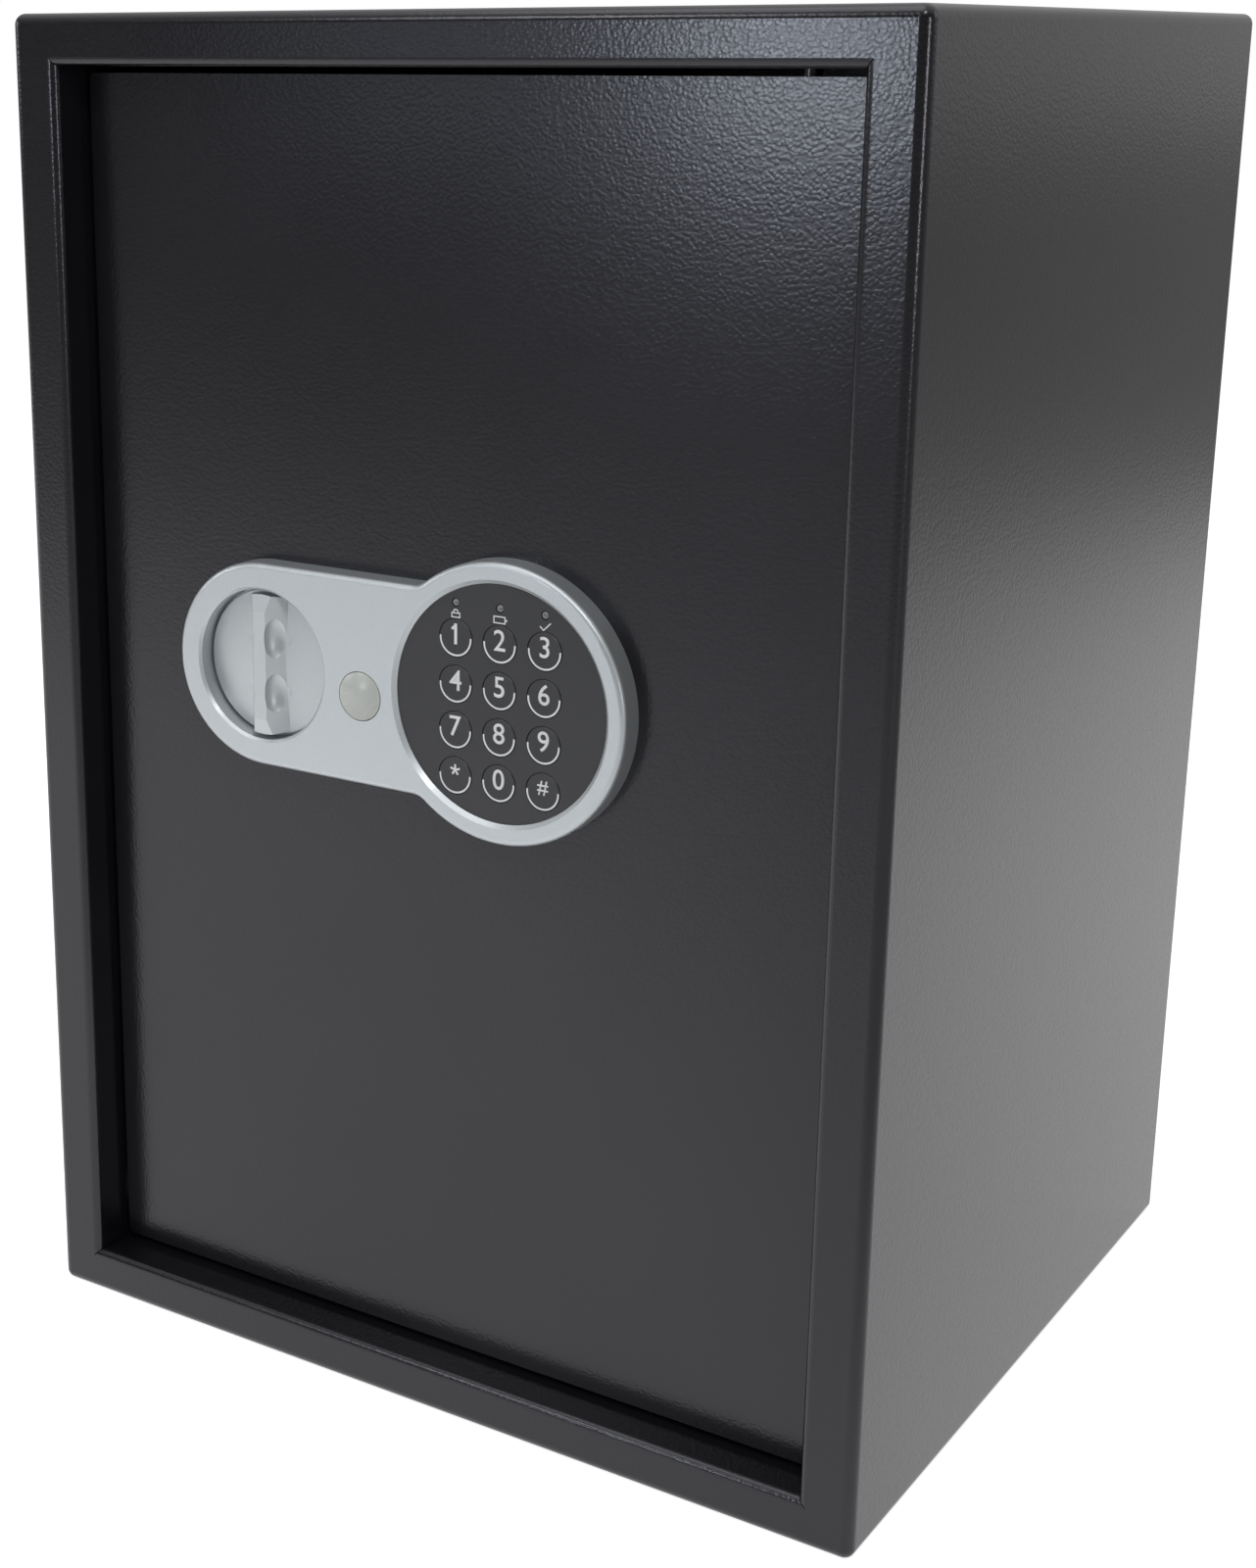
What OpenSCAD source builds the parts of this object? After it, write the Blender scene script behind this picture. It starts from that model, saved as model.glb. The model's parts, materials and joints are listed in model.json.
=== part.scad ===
// Electronic safe: folded steel cabinet, recessed door on hidden pins, keypad escutcheon,
// turning knob that throws two bolts, solenoid block, key override and a shelf inside.
// Millimetres. Z is up, the door faces -Y, the origin is the middle of the base.

/* [Cabinet] */
// Outside width
cabinet_w = 350; // [340:1:420]
// Outside depth
cabinet_d = 310; // [290:1:400]
// Outside height
cabinet_h = 500; // [480:1:620]
// Thickness of the body sheet
sheet_t = 2; // [1.5:0.1:3]
// Inside radius of the folded outer edges
edge_in_r = 2; // [1:0.1:4]
// Width of the front frame beside the door
frame_side_w = 20; // [18:0.5:26]
// Width of the front frame above and below the door
frame_end_w = 18; // [16:0.5:26]
// Depth of the lips folded back round the door opening
lip_d = 24; // [22:0.5:28]
// Inside radius of the fold between the frame and its lips
lip_in_r = 1; // [0.5:0.1:2]
// Seam between two lips where they meet in a corner
mitre_seam = 0.4; // [0.2:0.1:1]
// Thickness of the back panel
back_t = 2; // [1.5:0.1:4]

/* [Anchor holes] */
// Radius of the holes for anchor bolts
anchor_r = 5.5; // [4:0.5:8]
// Distance between the base holes from side to side
base_anchor_dx = 200; // [120:5:240]
// Distance between the base holes from front to back
base_anchor_dy = 160; // [100:5:180]
// Distance between the two back holes
back_anchor_dx = 180; // [100:5:240]
// Height of the back holes above the base
back_anchor_z = 360; // [300:5:420]
// Clearance of the mat round an anchor hole
mat_hole_clear = 4; // [2:0.5:8]

/* [Inside] */
// Thickness of the floor mat
mat_t = 3; // [2:0.5:6]
// Clearance between the mat and the walls or their folds
mat_clear = 1; // [0.5:0.5:4]
// Distance from the front frame to the mat
mat_setback = 44; // [40:1:60]
// Height of the top of the shelf above the base
shelf_z = 252; // [160:1:330]
// Thickness of the shelf
shelf_t = 1.5; // [1:0.1:3]
// Height of the folded front edge of the shelf
shelf_fold = 16; // [8:1:30]
// Distance from the front frame to the shelf
shelf_setback = 82; // [76:1:140]
// Clearance between the shelf and the walls
shelf_clear = 1; // [0.5:0.1:2]
// Width of the angle that carries the shelf
support_w = 14; // [8:0.5:24]
// Height of the angle that carries the shelf
support_h = 20; // [10:0.5:30]
// Thickness of the angle that carries the shelf
support_t = 1.5; // [1:0.1:3]

/* [Door] */
// Distance from the front frame back to the door
door_recess = 16; // [14:0.5:17]
// Thickness of the door plate
door_t = 4; // [3:0.5:5]
// Gap round the door plate
door_gap = 2.5; // [2.4:0.1:3]
// Radius of the corners of the door plate
door_corner_r = 2; // [1:0.5:5]

/* [Hinges] */
// Radius of the hinge pins
hinge_pin_r = 3; // [2.5:0.1:3.5]
// Running clearance of the hinge pins
hinge_clear = 0.05; // [0.02:0.01:0.1]
// Radius of the knuckles behind the door
knuckle_r = 5; // [4.6:0.1:5.4]
// Height of a knuckle
knuckle_h = 22; // [14:1:40]
// Distance from the door edge to the hinge axis
hinge_inset = 25; // [24:0.5:32]
// Length of pin inside a knuckle
pin_reach = 15; // [10:1:20]
// Width of a hinge bracket
bracket_w = 24; // [18:1:32]
// Thickness of a hinge bracket
bracket_t = 4; // [3:0.5:6]
// Distance from the hinge axis to the back of a bracket
bracket_back = 9; // [8:0.5:14]
// Reach of a bracket in front of its knuckle
bracket_margin = 0.5; // [0.2:0.1:1]

/* [Lock layout] */
// Height of the lock above the middle of the door
lock_rise = 23; // [0:1:40]
// Distance from the door edge to the knob axis
knob_inset = 80.5; // [78:0.5:84]
// Distance from the knob to the middle of the keypad
keypad_dx = 101; // [98:0.5:110]
// Distance from the knob to the override lock
override_dx = 44; // [42:0.5:47]
// Drop of the override lock below the knob
override_drop = 5; // [2:0.5:8]

/* [Escutcheon] */
// Thickness of the escutcheon
esc_t = 9.5; // [9:0.1:12]
// Half height of the bar
bar_half = 37.5; // [36:0.5:42]
// Outside radius of the keypad ring
ring_r = 49.5; // [49:0.5:54]
// Radius of the fillet between bar and ring
join_r = 8; // [4:0.5:14]
// Radius of the rounded front edge
esc_edge = 2; // [1:0.1:3]
// Wall of the moulding
esc_wall = 2.5; // [1.8:0.1:3]
// Radius of the recess round the knob
cup_r = 27.8; // [27.5:0.1:30]
// Thickness of the floor of that recess
cup_floor = 1; // [0.8:0.1:1.2]
// Bevel round the mouth of that recess
cup_bevel = 1; // [0.5:0.1:1.5]
// Thickness of the stiffening ribs
rib_t = 1.5; // [1:0.1:2.5]
// Distance from the lock's centre line to the stiffening ribs
rib_dy = 13; // [11:0.5:20]
// Wall round the hole for the cap
cap_wall = 1.8; // [1.2:0.1:2.5]
// Radius of the escutcheon screws
esc_screw_r = 1.6; // [1.2:0.1:2]
// Depth of those screws in the moulding
esc_screw_bite = 4; // [3:0.5:5.5]
// Radius of the bosses round those screws
esc_boss_r = 4; // [3.4:0.1:4.5]
// Distance from the knob axis to the screws beside it, along the bar
esc_fix_dx = 35; // [33:0.5:36]
// Distance from the knob axis to the screws beside it, across the bar
esc_fix_dy = 28; // [26:0.5:29]
// Angle of the screws in the keypad ring
ring_fix_turn = 35; // [25:1:60]
// Thickness of the heads of those screws
esc_head_t = 1.4; // [1:0.1:1.8]

/* [Keypad] */
// Radius of the keypad panel
panel_r = 41.8; // [41.4:0.1:43]
// Clearance of the panel in its seat
panel_gap = 0.2; // [0.1:0.05:0.4]
// Thickness of the panel
panel_t = 1.6; // [1.2:0.1:2]
// Depth of the panel below the ring
panel_drop = 1.6; // [1:0.1:2]
// Bevel on the inside of the ring
ring_bevel = 1.5; // [0.5:0.1:2]
// Width of the ledge that carries the panel
ledge_w = 1.3; // [0.8:0.1:1.6]
// Height of that ledge
ledge_h = 2.9; // [2.4:0.1:3.2]
// Step between the panel's seat and the well for the board
well_step = 1; // [0.6:0.1:1.2]
// Distance between key columns
key_pitch_x = 17.7; // [16:0.1:18.5]
// Distance between key rows
key_pitch_y = 16.3; // [15.5:0.1:16.5]
// Height of the first key row above the keypad axis
key_top_y = 21.2; // [20.7:0.1:22.5]
// Radius of a key
key_r = 6.6; // [5:0.1:6.9]
// Clearance round a key
key_gap = 0.3; // [0.3:0.05:0.4]
// Height of a key above the panel
key_proud = 0.15; // [0.1:0.05:0.6]
// Width of the collar that holds a key behind the panel
key_collar = 0.5; // [0.5:0.1:0.8]
// Thickness of the panel in front of that collar
key_web = 0.5; // [0.4:0.1:0.8]
// Reach of that collar behind the panel
key_collar_t = 0.8; // [0.5:0.1:1]
// Clearance between that collar and the panel
key_collar_gap = 0.2; // [0.1:0.05:0.3]
// Width of the bevel round a key
key_bevel = 0.2; // [0.1:0.05:0.4]
// Depth of the dish in a key
key_dish = 0.1; // [0.05:0.05:0.5]
// Width of the body of a key's switch
switch_w = 6; // [4.5:0.1:7]
// Radius of a switch's post
switch_post_r = 1.8; // [1:0.1:2.2]
// Clearance between a pressed key and its switch
switch_gap = 0.1; // [0.05:0.05:0.3]
// Travel of a key
key_travel = 0.8; // [0.4:0.1:0.9]
// Height of the three lamps above the keypad axis
lamp_y = 33.6; // [32.5:0.1:34]
// Radius of a lamp
lamp_r = 1.5; // [1:0.1:1.6]
// Height of a lamp's dome above the panel
lamp_proud = 0.6; // [0.2:0.1:0.8]
// Clearance round a lamp
lamp_gap = 0.1; // [0.05:0.05:0.2]
// Thickness of the circuit boards
board_t = 1.6; // [1:0.1:1.8]
// Clearance of the keypad board in its well
board_gap = 0.2; // [0.1:0.1:0.5]

/* [Knob] */
// Clearance between the knob and its recess
knob_gap = 0.8; // [0.5:0.1:1.5]
// Clearance under the knob
knob_float = 0.3; // [0.2:0.1:0.5]
// Thickness of the knob at its rim
knob_rim_t = 1.8; // [1.4:0.1:2.4]
// Thickness of the knob at its centre, beside the grip
knob_mid_t = 3.4; // [2.8:0.1:4]
// Chamfer behind the knob's rim
knob_chamfer = 0.6; // [0.2:0.1:1]
// Bevel in front of the knob's rim
knob_bevel = 0.3; // [0.1:0.05:0.6]
// Distance from the grip's ends to the knob's rim
grip_end_inset = 1; // [0.6:0.1:3]
// Height of the grip above the escutcheon
grip_proud = 0.5; // [0:0.1:2]
// Half width of the grip at its foot
grip_foot = 10; // [8:0.5:10.5]
// Half width of the grip at its crest
grip_crest = 2.75; // [2.4:0.05:3.5]
// Half width of the grip between two finger hollows
grip_waist = 2.2; // [2:0.05:2.35]
// Half length of the grip's flat crest
grip_crest_len = 20; // [16:0.5:22]
// Drop of the bevel at each end of the grip
grip_end_drop = 1.8; // [1:0.1:4]
// Radius of the finger hollows in the grip, across the grip
hollow_r = 7; // [5.5:0.1:7.5]
// Half length of the finger hollows
hollow_len = 14; // [11:0.5:14.5]
// Thickness of the knob under the finger hollows
hollow_floor = 2.5; // [1.7:0.1:2.8]
// Distance from the knob axis to a finger hollow
hollow_dy = 10.2; // [9.8:0.1:12]
// Radius of the spindle
spindle_r = 4; // [3:0.1:4.5]
// Depth of the spindle in the knob
spindle_seat = 2.7; // [2:0.1:3]
// Running clearance of the spindle in its bush
spindle_clear = 0.05; // [0.02:0.01:0.1]
// Radius of the bush
bush_r = 7; // [6:0.1:8]
// Radius of the flange of the bush
bush_flange_r = 10; // [9:0.1:11]
// Thickness of the flange of the bush
bush_flange_t = 1.2; // [0.8:0.1:2]
// Depth of the bush's front end below the recess floor
bush_drop = 0.1; // [0:0.1:0.4]
// Clearance of the bush in the escutcheon
bush_gap = 0.2; // [0.1:0.1:0.6]

/* [Bolt work] */
// Clearance between the bush and the crank
crank_gap = 0.2; // [0.1:0.1:0.6]
// Thickness of the crank
crank_t = 3.2; // [2:0.1:4]
// Distance from the knob axis to the crank pin
crank_r = 13; // [12:0.1:14]
// Radius of the crank pin
crank_pin_r = 4; // [3:0.1:4.5]
// Radius of the crank's hub
crank_hub_r = 9; // [7:0.1:10]
// Width of the crank beside its pin
crank_margin = 1.5; // [1:0.1:2]
// Reach of the crank pin behind the carriage
crank_pin_proud = 1; // [0.5:0.1:2]
// Clearance beside the crank pin in its slot
slot_gap = 0.6; // [0.5:0.05:0.8]
// Clearance between the crank and the carriage
carriage_gap = 1; // [0.6:0.1:1.6]
// Thickness of the carriage
carriage_t = 3; // [2:0.1:4]
// Distance from the lock case wall to the carriage
carriage_inset = 28; // [27:0.5:29]
// Width of the carriage strip
carriage_w = 40; // [39:0.5:40]
// Half height of the carriage
carriage_half = 110; // [106:1:116]
// Reach of the carriage past the crank pin slot
tongue_reach = 15; // [13:0.5:16]
// Reach of the carriage's tongue below the knob axis
tongue_low = 11; // [10:0.5:12]
// Reach of the carriage's tongue above the knob axis
tongue_high = 27; // [24:0.5:28]
// Height of the lug that the solenoid blocks
lug_drop = 12; // [11:0.5:13]
// Height of that lug's free edge above the back of the flange
lug_trim = 6; // [4:0.5:8]
// Reach of the carriage's flange behind the bolts
flange_margin = 2; // [1:0.5:4]
// Radius of a bolt
bolt_r = 9; // [7:0.1:9.5]
// Running clearance of a bolt in the lock case
bolt_clear = 0.06; // [0.03:0.01:0.1]
// Distance from the knob axis to a bolt
bolt_dy = 93; // [90:1:96]
// Gap between the bolts and the lips that they pass behind
bolt_play = 1; // [0.5:0.1:2]
// Depth of the bolt tips inside the door edge
bolt_tip_inset = 3; // [2:0.1:3.4]
// Chamfer of the bolt tips
bolt_chamfer = 1.5; // [0.5:0.1:3]
// Radius of the threaded end of a bolt
bolt_stud_r = 4; // [3:0.5:5]
// Thickness of the nut on a bolt
bolt_nut_t = 6; // [5:0.5:7]
// Width of that nut beside its thread
bolt_nut_wall = 3.4; // [2.6:0.1:3.6]
// Reach of the thread past that nut
thread_proud = 1; // [0.5:0.5:2]
// Clearance round the nuts in the carriage's windows
nut_room = 1; // [0.5:0.1:2]
// Distance from the carriage's left edge to its guide studs
guide_inset = 10; // [9.5:0.1:10.5]
// Distance from the knob axis to the inner guide studs
guide_dy_in = 30; // [29:1:36]
// Distance from the knob axis to the outer guide studs
guide_dy_out = 66; // [56:1:68]
// Radius of a guide stud in its slot
guide_r = 4; // [3:0.1:4.2]
// Clearance of a guide stud in its slot
guide_gap = 0.35; // [0.3:0.05:0.5]
// Radius of a guide stud's shoulder and head
guide_head_r = 6.8; // [6.2:0.1:7]
// Thickness of a guide stud's head
guide_head_t = 1.5; // [1:0.1:2.5]
// Clearance between the carriage and its guides
guide_float = 0.2; // [0.1:0.05:0.4]

/* [Lock case] */
// Distance from the door edge to the case wall
case_inset = 3.5; // [3.5:0.1:4.5]
// Thickness of the case wall that guides the bolts
case_wall = 3; // [2:0.1:4]
// Width of that wall's foot on the door
guide_foot_w = 12; // [8:0.5:16]
// Thickness of that foot
guide_foot_t = 1.5; // [1:0.1:2.5]
// Distance from the wall's ends to its foot
guide_foot_inset = 4; // [3:0.5:20]
// Depth of the case behind the door plate
case_d = 42; // [41:0.5:48]
// Width of the case cover
cover_w = 208; // [200:1:215]
// Half height of the case
case_half = 155; // [150:1:165]
// Thickness of the case cover
cover_t = 1.2; // [0.8:0.1:2]
// Outside radius of the cover's folded edges
cover_edge_r = 4; // [3:0.1:8]
// Width of the cover's fixing flanges
cover_flange = 12; // [10:0.5:16]
// Radius of the cover screws
cover_screw_r = 2; // [1.5:0.1:2.5]
// Depth of the cover screws in the door plate
cover_screw_bite = 2.4; // [1.5:0.1:2.8]
// Thickness of the heads of the cover screws
cover_head_t = 1.8; // [1:0.1:2.5]
// Distance from the cover's sides to the nearest screws
cover_screw_inset = 24; // [14:1:40]

/* [Solenoid] */
// Width of the solenoid frame
sol_w = 26; // [25:0.5:28]
// Depth of the solenoid frame
sol_d = 27; // [26:0.5:29]
// Height of the solenoid frame
sol_h = 46; // [36:1:52]
// Thickness of the solenoid frame
sol_t = 2; // [1.5:0.1:2]
// Radius of the coil
coil_r = 11; // [9:0.1:11.2]
// Radius of the plunger
plunger_r = 4; // [3:0.1:4.5]
// Clearance of the plunger in the coil
plunger_gap = 0.3; // [0.3:0.05:0.6]
// Travel of the plunger
plunger_travel = 5; // [3:0.5:5.5]
// Clearance between the plunger and the lug above it
plunger_clear = 1; // [0.6:0.1:2]
// Thickness of the plunger's collar
collar_t = 1.5; // [1:0.1:2.5]
// Length of plunger above the raised collar's place
collar_drop = 1.5; // [0.5:0.1:3]
// Clearance between the plunger's foot and the frame
plunger_foot_gap = 4; // [1:0.5:8]
// Length of the squeezed return spring
spring_len = 5; // [4.5:0.1:7]
// Radius of the return spring's wire
spring_wire_r = 0.35; // [0.2:0.05:0.4]
// Turns of the return spring
spring_turns = 4; // [3:0.5:4]
// Clearance between the return spring and the plunger's bore
spring_room = 0.3; // [0.2:0.1:0.6]
// Clearance at each end of the return spring
spring_end_gap = 0.1; // [0.05:0.05:0.2]

/* [Override lock] */
// Radius of the lock barrel
barrel_r = 8.2; // [7.4:0.1:8.3]
// Length of the barrel behind the door's face
barrel_back = 25; // [24:0.5:28]
// Height of the barrel in front of the door's face
barrel_front = 6; // [5:0.1:6.2]
// Radius of the lock plug
plug_r = 6; // [5:0.1:6.2]
// Running clearance of the lock plug
plug_clear = 0.05; // [0.02:0.01:0.1]
// Radius of the tail that carries the cam
tail_r = 4; // [3:0.1:4.5]
// Reach of the tail behind the cam
tail_proud = 1.2; // [0.5:0.1:2]
// Width of the keyway
keyway_w = 1.6; // [1.2:0.1:2]
// Height of the keyway
keyway_h = 8; // [6:0.5:9]
// Depth of the keyway
keyway_d = 18; // [4:1:22]
// Drop of the plug below the barrel's front
plug_drop = 0.2; // [0:0.1:1]
// Length of the cam
cam_len = 24; // [18:0.5:26]
// Thickness of the cam
cam_t = 2.4; // [1.6:0.1:3]
// Width of the cam
cam_w = 8; // [6:0.5:10]
// Width of the cam beside the tail
cam_eye = 3; // [2:0.5:4]
// Thickness of the barrel nut
nut_t = 5; // [4:0.1:6]
// Width of the barrel nut beside its thread
nut_wall = 5; // [3:0.5:5.5]
// Radius of the hole for the cap
cap_hole_r = 9; // [8.9:0.1:10]
// Clearance of the cap in its hole
cap_gap = 0.3; // [0.3:0.05:0.4]
// Thickness of the cap at its rim
cap_t = 3.3; // [2.4:0.1:3.4]
// Height of the cap's dome
cap_dome = 2; // [0.3:0.1:2.4]
// Clearance between the cap and the barrel
cap_seat = 0.3; // [0.3:0.1:0.6]

/* [Electronics] */
// Width of the control board
control_w = 65; // [50:1:70]
// Height of the control board
control_h = 50; // [40:1:56]
// Distance from the knob axis to the board's left edge
control_dx = 62; // [60:1:66]
// Distance from the knob axis up to the board's lower edge
control_dy = 37; // [36:1:44]
// Height of the board's spacers
spacer_h = 9; // [6:0.5:11]
// Radius of the board's spacers
spacer_r = 2.8; // [2:0.1:3.5]
// Distance from the board's edges to its spacers
spacer_inset = 4; // [3.5:0.5:6]
// Width of the ribbon cable's sockets
socket_w = 14; // [13:0.5:18]
// Height of those sockets along the cable
socket_h = 3; // [2:0.5:5]
// Thickness of the keypad board's socket
socket_t = 1.2; // [1:0.1:1.2]
// Drop of that socket below the cable hole's middle
socket_drop = 6; // [5:0.5:7]
// Height of the plugs on the control board
plug_h = 5; // [4:0.5:7]
// Width of a plug for two leads
plug_w = 8; // [6:0.5:9]
// Distance from the board's lower edge to the plugs
plug_edge = 1; // [0.5:0.5:2]
// Height of the board's capacitors
capacitor_h = 10; // [6:0.5:14]
// Radius of the board's capacitors
capacitor_r = 4; // [3:0.5:5]
// Width of the board's chip
chip_w = 14; // [8:0.5:16]
// Thickness of the board's chip
chip_t = 2; // [1:0.1:3]
// Height of the board's buzzer
buzzer_h = 7; // [5:0.5:9]
// Radius of the board's buzzer
buzzer_r = 6; // [4:0.5:6]
// Radius of a lead
lead_r = 0.7; // [0.5:0.1:1]
// Distance between two leads of a pair
lead_pitch = 2.2; // [2:0.1:3]
// Straight length at the end of a lead
lead_end = 8; // [5:0.5:10]
// Clearance between a lead and what it ends at
lead_gap = 0.1; // [0.05:0.05:0.3]
// Distance from the keypad axis up to the cable hole
cable_dy = 17; // [12:0.5:20]
// Radius of the cable hole
cable_hole_r = 8; // [6.5:0.5:9]
// Width of the ribbon cable
ribbon_w = 10; // [6:0.5:12]
// Thickness of the ribbon cable
ribbon_t = 0.8; // [0.5:0.1:1]
// Radius of a battery cell
cell_r = 7.1; // [7:0.05:7.2]
// Length of a battery cell
cell_len = 50; // [49:0.1:51]
// Distance between two cells
cell_pitch = 15.2; // [14.8:0.1:16]
// Wall of the battery tray
tray_wall = 2; // [1.4:0.1:3]
// Room for the contacts at both ends of the cells
contact_room = 12; // [6:0.5:16]
// Clearance round the cells in the tray
cell_gap = 0.4; // [0.2:0.1:1]
// Length of a cell's terminal
terminal_l = 1.5; // [1:0.1:2]
// Radius of a cell's terminal
terminal_r = 2.7; // [2:0.1:3]
// Distance from the knob axis to the tray's left edge
tray_dx = 60; // [54:1:64]
// Distance from the case's lower end up to the tray
tray_rise = 22; // [12:1:28]
// Thickness of the battery lid
lid_t = 2; // [1.5:0.1:3]
// Overlap of the battery lid round its opening
lid_lap = 4; // [3:0.5:6]
// Clearance between the battery lid and the cover
lid_gap = 0.3; // [0.2:0.1:0.6]
// Clearance of the battery lid's skirt in the opening
skirt_gap = 0.5; // [0.3:0.1:1]
// Thickness of that skirt
skirt_t = 1.8; // [1:0.1:2.5]
// Reach of that skirt past the cover
skirt_reach = 0.2; // [0.1:0.1:0.4]
// Width of the finger notch in the lid
notch_w = 18; // [12:1:24]
// Height of the finger notch in the lid
notch_h = 8; // [5:0.5:12]
// Distance from the finger notch to the opening's edge
notch_inset = 4; // [3:0.5:8]
// Distance that the battery lid pulls out
lid_pull = 25; // [10:1:40]
// Radius of the reset button
reset_r = 3.5; // [2.5:0.1:4]
// Clearance round the reset button
reset_gap = 0.3; // [0.3:0.05:0.5]
// Height of the reset button above the cover
reset_proud = 3; // [2.5:0.1:4]
// Travel of the reset button
reset_travel = 2; // [1:0.1:2.2]
// Length of the reset button inside the cover
reset_body = 9; // [7:0.5:11]
// Width of the reset switch
reset_switch_w = 12; // [10:0.5:16]
// Thickness of the reset switch's foot
reset_foot = 1.2; // [0.8:0.1:2]
// Chamfer of the reset button's tip
reset_chamfer = 0.6; // [0.2:0.1:1]
// Distance from the knob axis to the reset button
reset_dx = 112; // [100:1:122]
// Drop from the knob axis to the reset button
reset_drop = 30; // [24:1:40]

/* [Hidden] */
$fn = 72;
KEYS = ["1", "2", "3", "4", "5", "6", "7", "8", "9", "star", "0", "hash"];

// Colours, as the photographed object shows them or as such pieces usually are
powder_black = "#2f2e32";
silver_paint = "#b9bdc0";
panel_black = "#3a3a3e";
felt_grey = "#3a3c40";
bright_steel = "#c9cbcd";
zinc_steel = "#a9aca8";
cap_green = "#a3a7a2";

// Cabinet
edge_out_r = edge_in_r + sheet_t;
lip_out_r = lip_in_r + sheet_t;
front_y = -cabinet_d / 2;
back_y = cabinet_d / 2;
mid_z = cabinet_h / 2;
open_w = cabinet_w - 2 * frame_side_w;
open_h = cabinet_h - 2 * frame_end_w;
inner_w = cabinet_w - 2 * sheet_t;
inner_h = cabinet_h - 2 * sheet_t;
back_inner_y = back_y - back_t;

// Door
door_face_y = front_y + door_recess;
door_w = open_w - 2 * door_gap;
door_h = open_h - 2 * door_gap;
door_x0 = -door_w / 2;
hinge_x = door_w / 2 - hinge_inset;
hinge_y = door_face_y + door_t + knuckle_r;
bracket_front = knuckle_r + bracket_margin;
door_back = -door_t;

// Lock layout, in the door's frame: X right, Y up, Z out of the door's face
knob_x = door_x0 + knob_inset;
lock_y = mid_z + lock_rise;
keypad_x = knob_x + keypad_dx;
override_x = knob_x + override_dx;
override_y = lock_y - override_drop;
cable_y = lock_y + cable_dy;

// Keypad
seat_r = panel_r + panel_gap;
ledge_r = seat_r - ledge_w;
well_r = seat_r + well_step;
panel_front = esc_t - panel_drop;
panel_back = panel_front - panel_t;
board_front = panel_back - ledge_h;
key_back = panel_back - key_collar_gap - key_collar_t;
collar_front = panel_front - key_web - key_collar_gap;
lamp_stem = panel_front + lamp_proud - board_front - lamp_r;

// Escutcheon fixings
ring_fix_r = (ring_r + well_r) / 2;
ring_fix_x = keypad_x + ring_fix_r * cos(ring_fix_turn);
ring_fix_dy = ring_fix_r * sin(ring_fix_turn);
bar_fixings = [for (s = [1, -1]) [knob_x + esc_fix_dx, lock_y + s * esc_fix_dy]];
esc_fixings = concat(bar_fixings, [for (s = [1, -1]) [ring_fix_x, lock_y + s * ring_fix_dy]]);

// Knob
knob_r = cup_r - knob_gap;
knob_back = cup_floor + knob_float;
grip_top = esc_t + grip_proud;
grip_end_top = grip_top - grip_end_drop;
grip_len = knob_r - grip_end_inset;

// Bolt work: the crank swings evenly past the vertical
crank_swing = 45;
throw = 2 * crank_r * sin(crank_swing);
bush_back = door_back - bush_flange_t;
crank_front = bush_back - crank_gap;
crank_back = crank_front - crank_t;
crank_end_r = crank_pin_r + crank_margin;
carriage_front = crank_back - carriage_gap;
carriage_back = carriage_front - carriage_t;
slot_x = knob_x + crank_r * sin(crank_swing);
slot_low = crank_r * cos(crank_swing);
slot_r = crank_pin_r + slot_gap;
case_x = door_x0 + case_inset;
case_inner_x = case_x + case_wall;
case_back = door_back - case_d;
carriage_x = case_inner_x + carriage_inset;
carriage_end = slot_x + tongue_reach;
guide_x = carriage_x + guide_inset;
guide_slot_r = guide_r + guide_gap;
guide_dys = [-guide_dy_out, -guide_dy_in, guide_dy_in, guide_dy_out];
bolt_out = door_recess - lip_d - bolt_play - bolt_r;
bolt_tip_x = door_x0 + bolt_tip_inset;
bolt_nut_r = bolt_stud_r + bolt_nut_wall;
flange_back = bolt_out - bolt_r - flange_margin;

// Solenoid, its plunger halfway between the lug's two places
lug_low = lock_y - tongue_low - lug_drop;
lug_mid_x = carriage_end - carriage_t / 2;
sol_x = lug_mid_x - throw / 2;
sol_axis = door_back - sol_d / 2;
plunger_top = lug_low - plunger_clear;
collar_top = plunger_top - plunger_travel - collar_drop;
spring_low = collar_top - collar_t - spring_len;
sol_low = spring_low - sol_h;
plunger_low = sol_low + sol_t + plunger_foot_gap;
spring_r = plunger_r + plunger_gap + spring_wire_r + spring_room;
collar_r = spring_r + spring_wire_r;

// Override lock
barrel_rear = -barrel_back;
tail_rear = barrel_rear - cam_t - tail_proud;
cap_back = barrel_front + cap_seat;

// Cover and what is fixed to it
cover_x1 = case_inner_x + cover_w;
cover_inner = case_back + cover_t;
cover_screw_y = case_half + cover_flange / 2;
cover_screw_xs = [case_inner_x + cover_screw_inset, case_inner_x + cover_w / 2,
  cover_x1 - cover_screw_inset];
control_x = knob_x + control_dx;
control_y = lock_y + control_dy;
control_front = door_back - spacer_h;
control_back = control_front - board_t;
tray_x = knob_x + tray_dx;
tray_w = cell_len + contact_room + 2 * tray_wall;
tray_h = 4 * cell_pitch + 2 * (cell_gap + tray_wall);
tray_y = lock_y - case_half + tray_rise;
tray_d = 2 * (cell_r + cell_gap) + tray_wall;
tray_front = cover_inner + tray_d;
reset_x = knob_x + reset_dx;
reset_y = lock_y - reset_drop;
plug_xs = [control_x + plug_w, control_x + 2.2 * plug_w, control_x + control_w - plug_w];
reset_len = reset_proud + reset_body;
reset_bore = reset_body + reset_travel + reset_gap;

// A rectangle with round corners
module rounded_rect(w, h, r) {
  square([w - 2 * r, h], center = true);
  square([w, h - 2 * r], center = true);
  for (x = [-1, 1], y = [-1, 1])
    translate([x * (w / 2 - r), y * (h / 2 - r)])
      circle(r);
}

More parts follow.
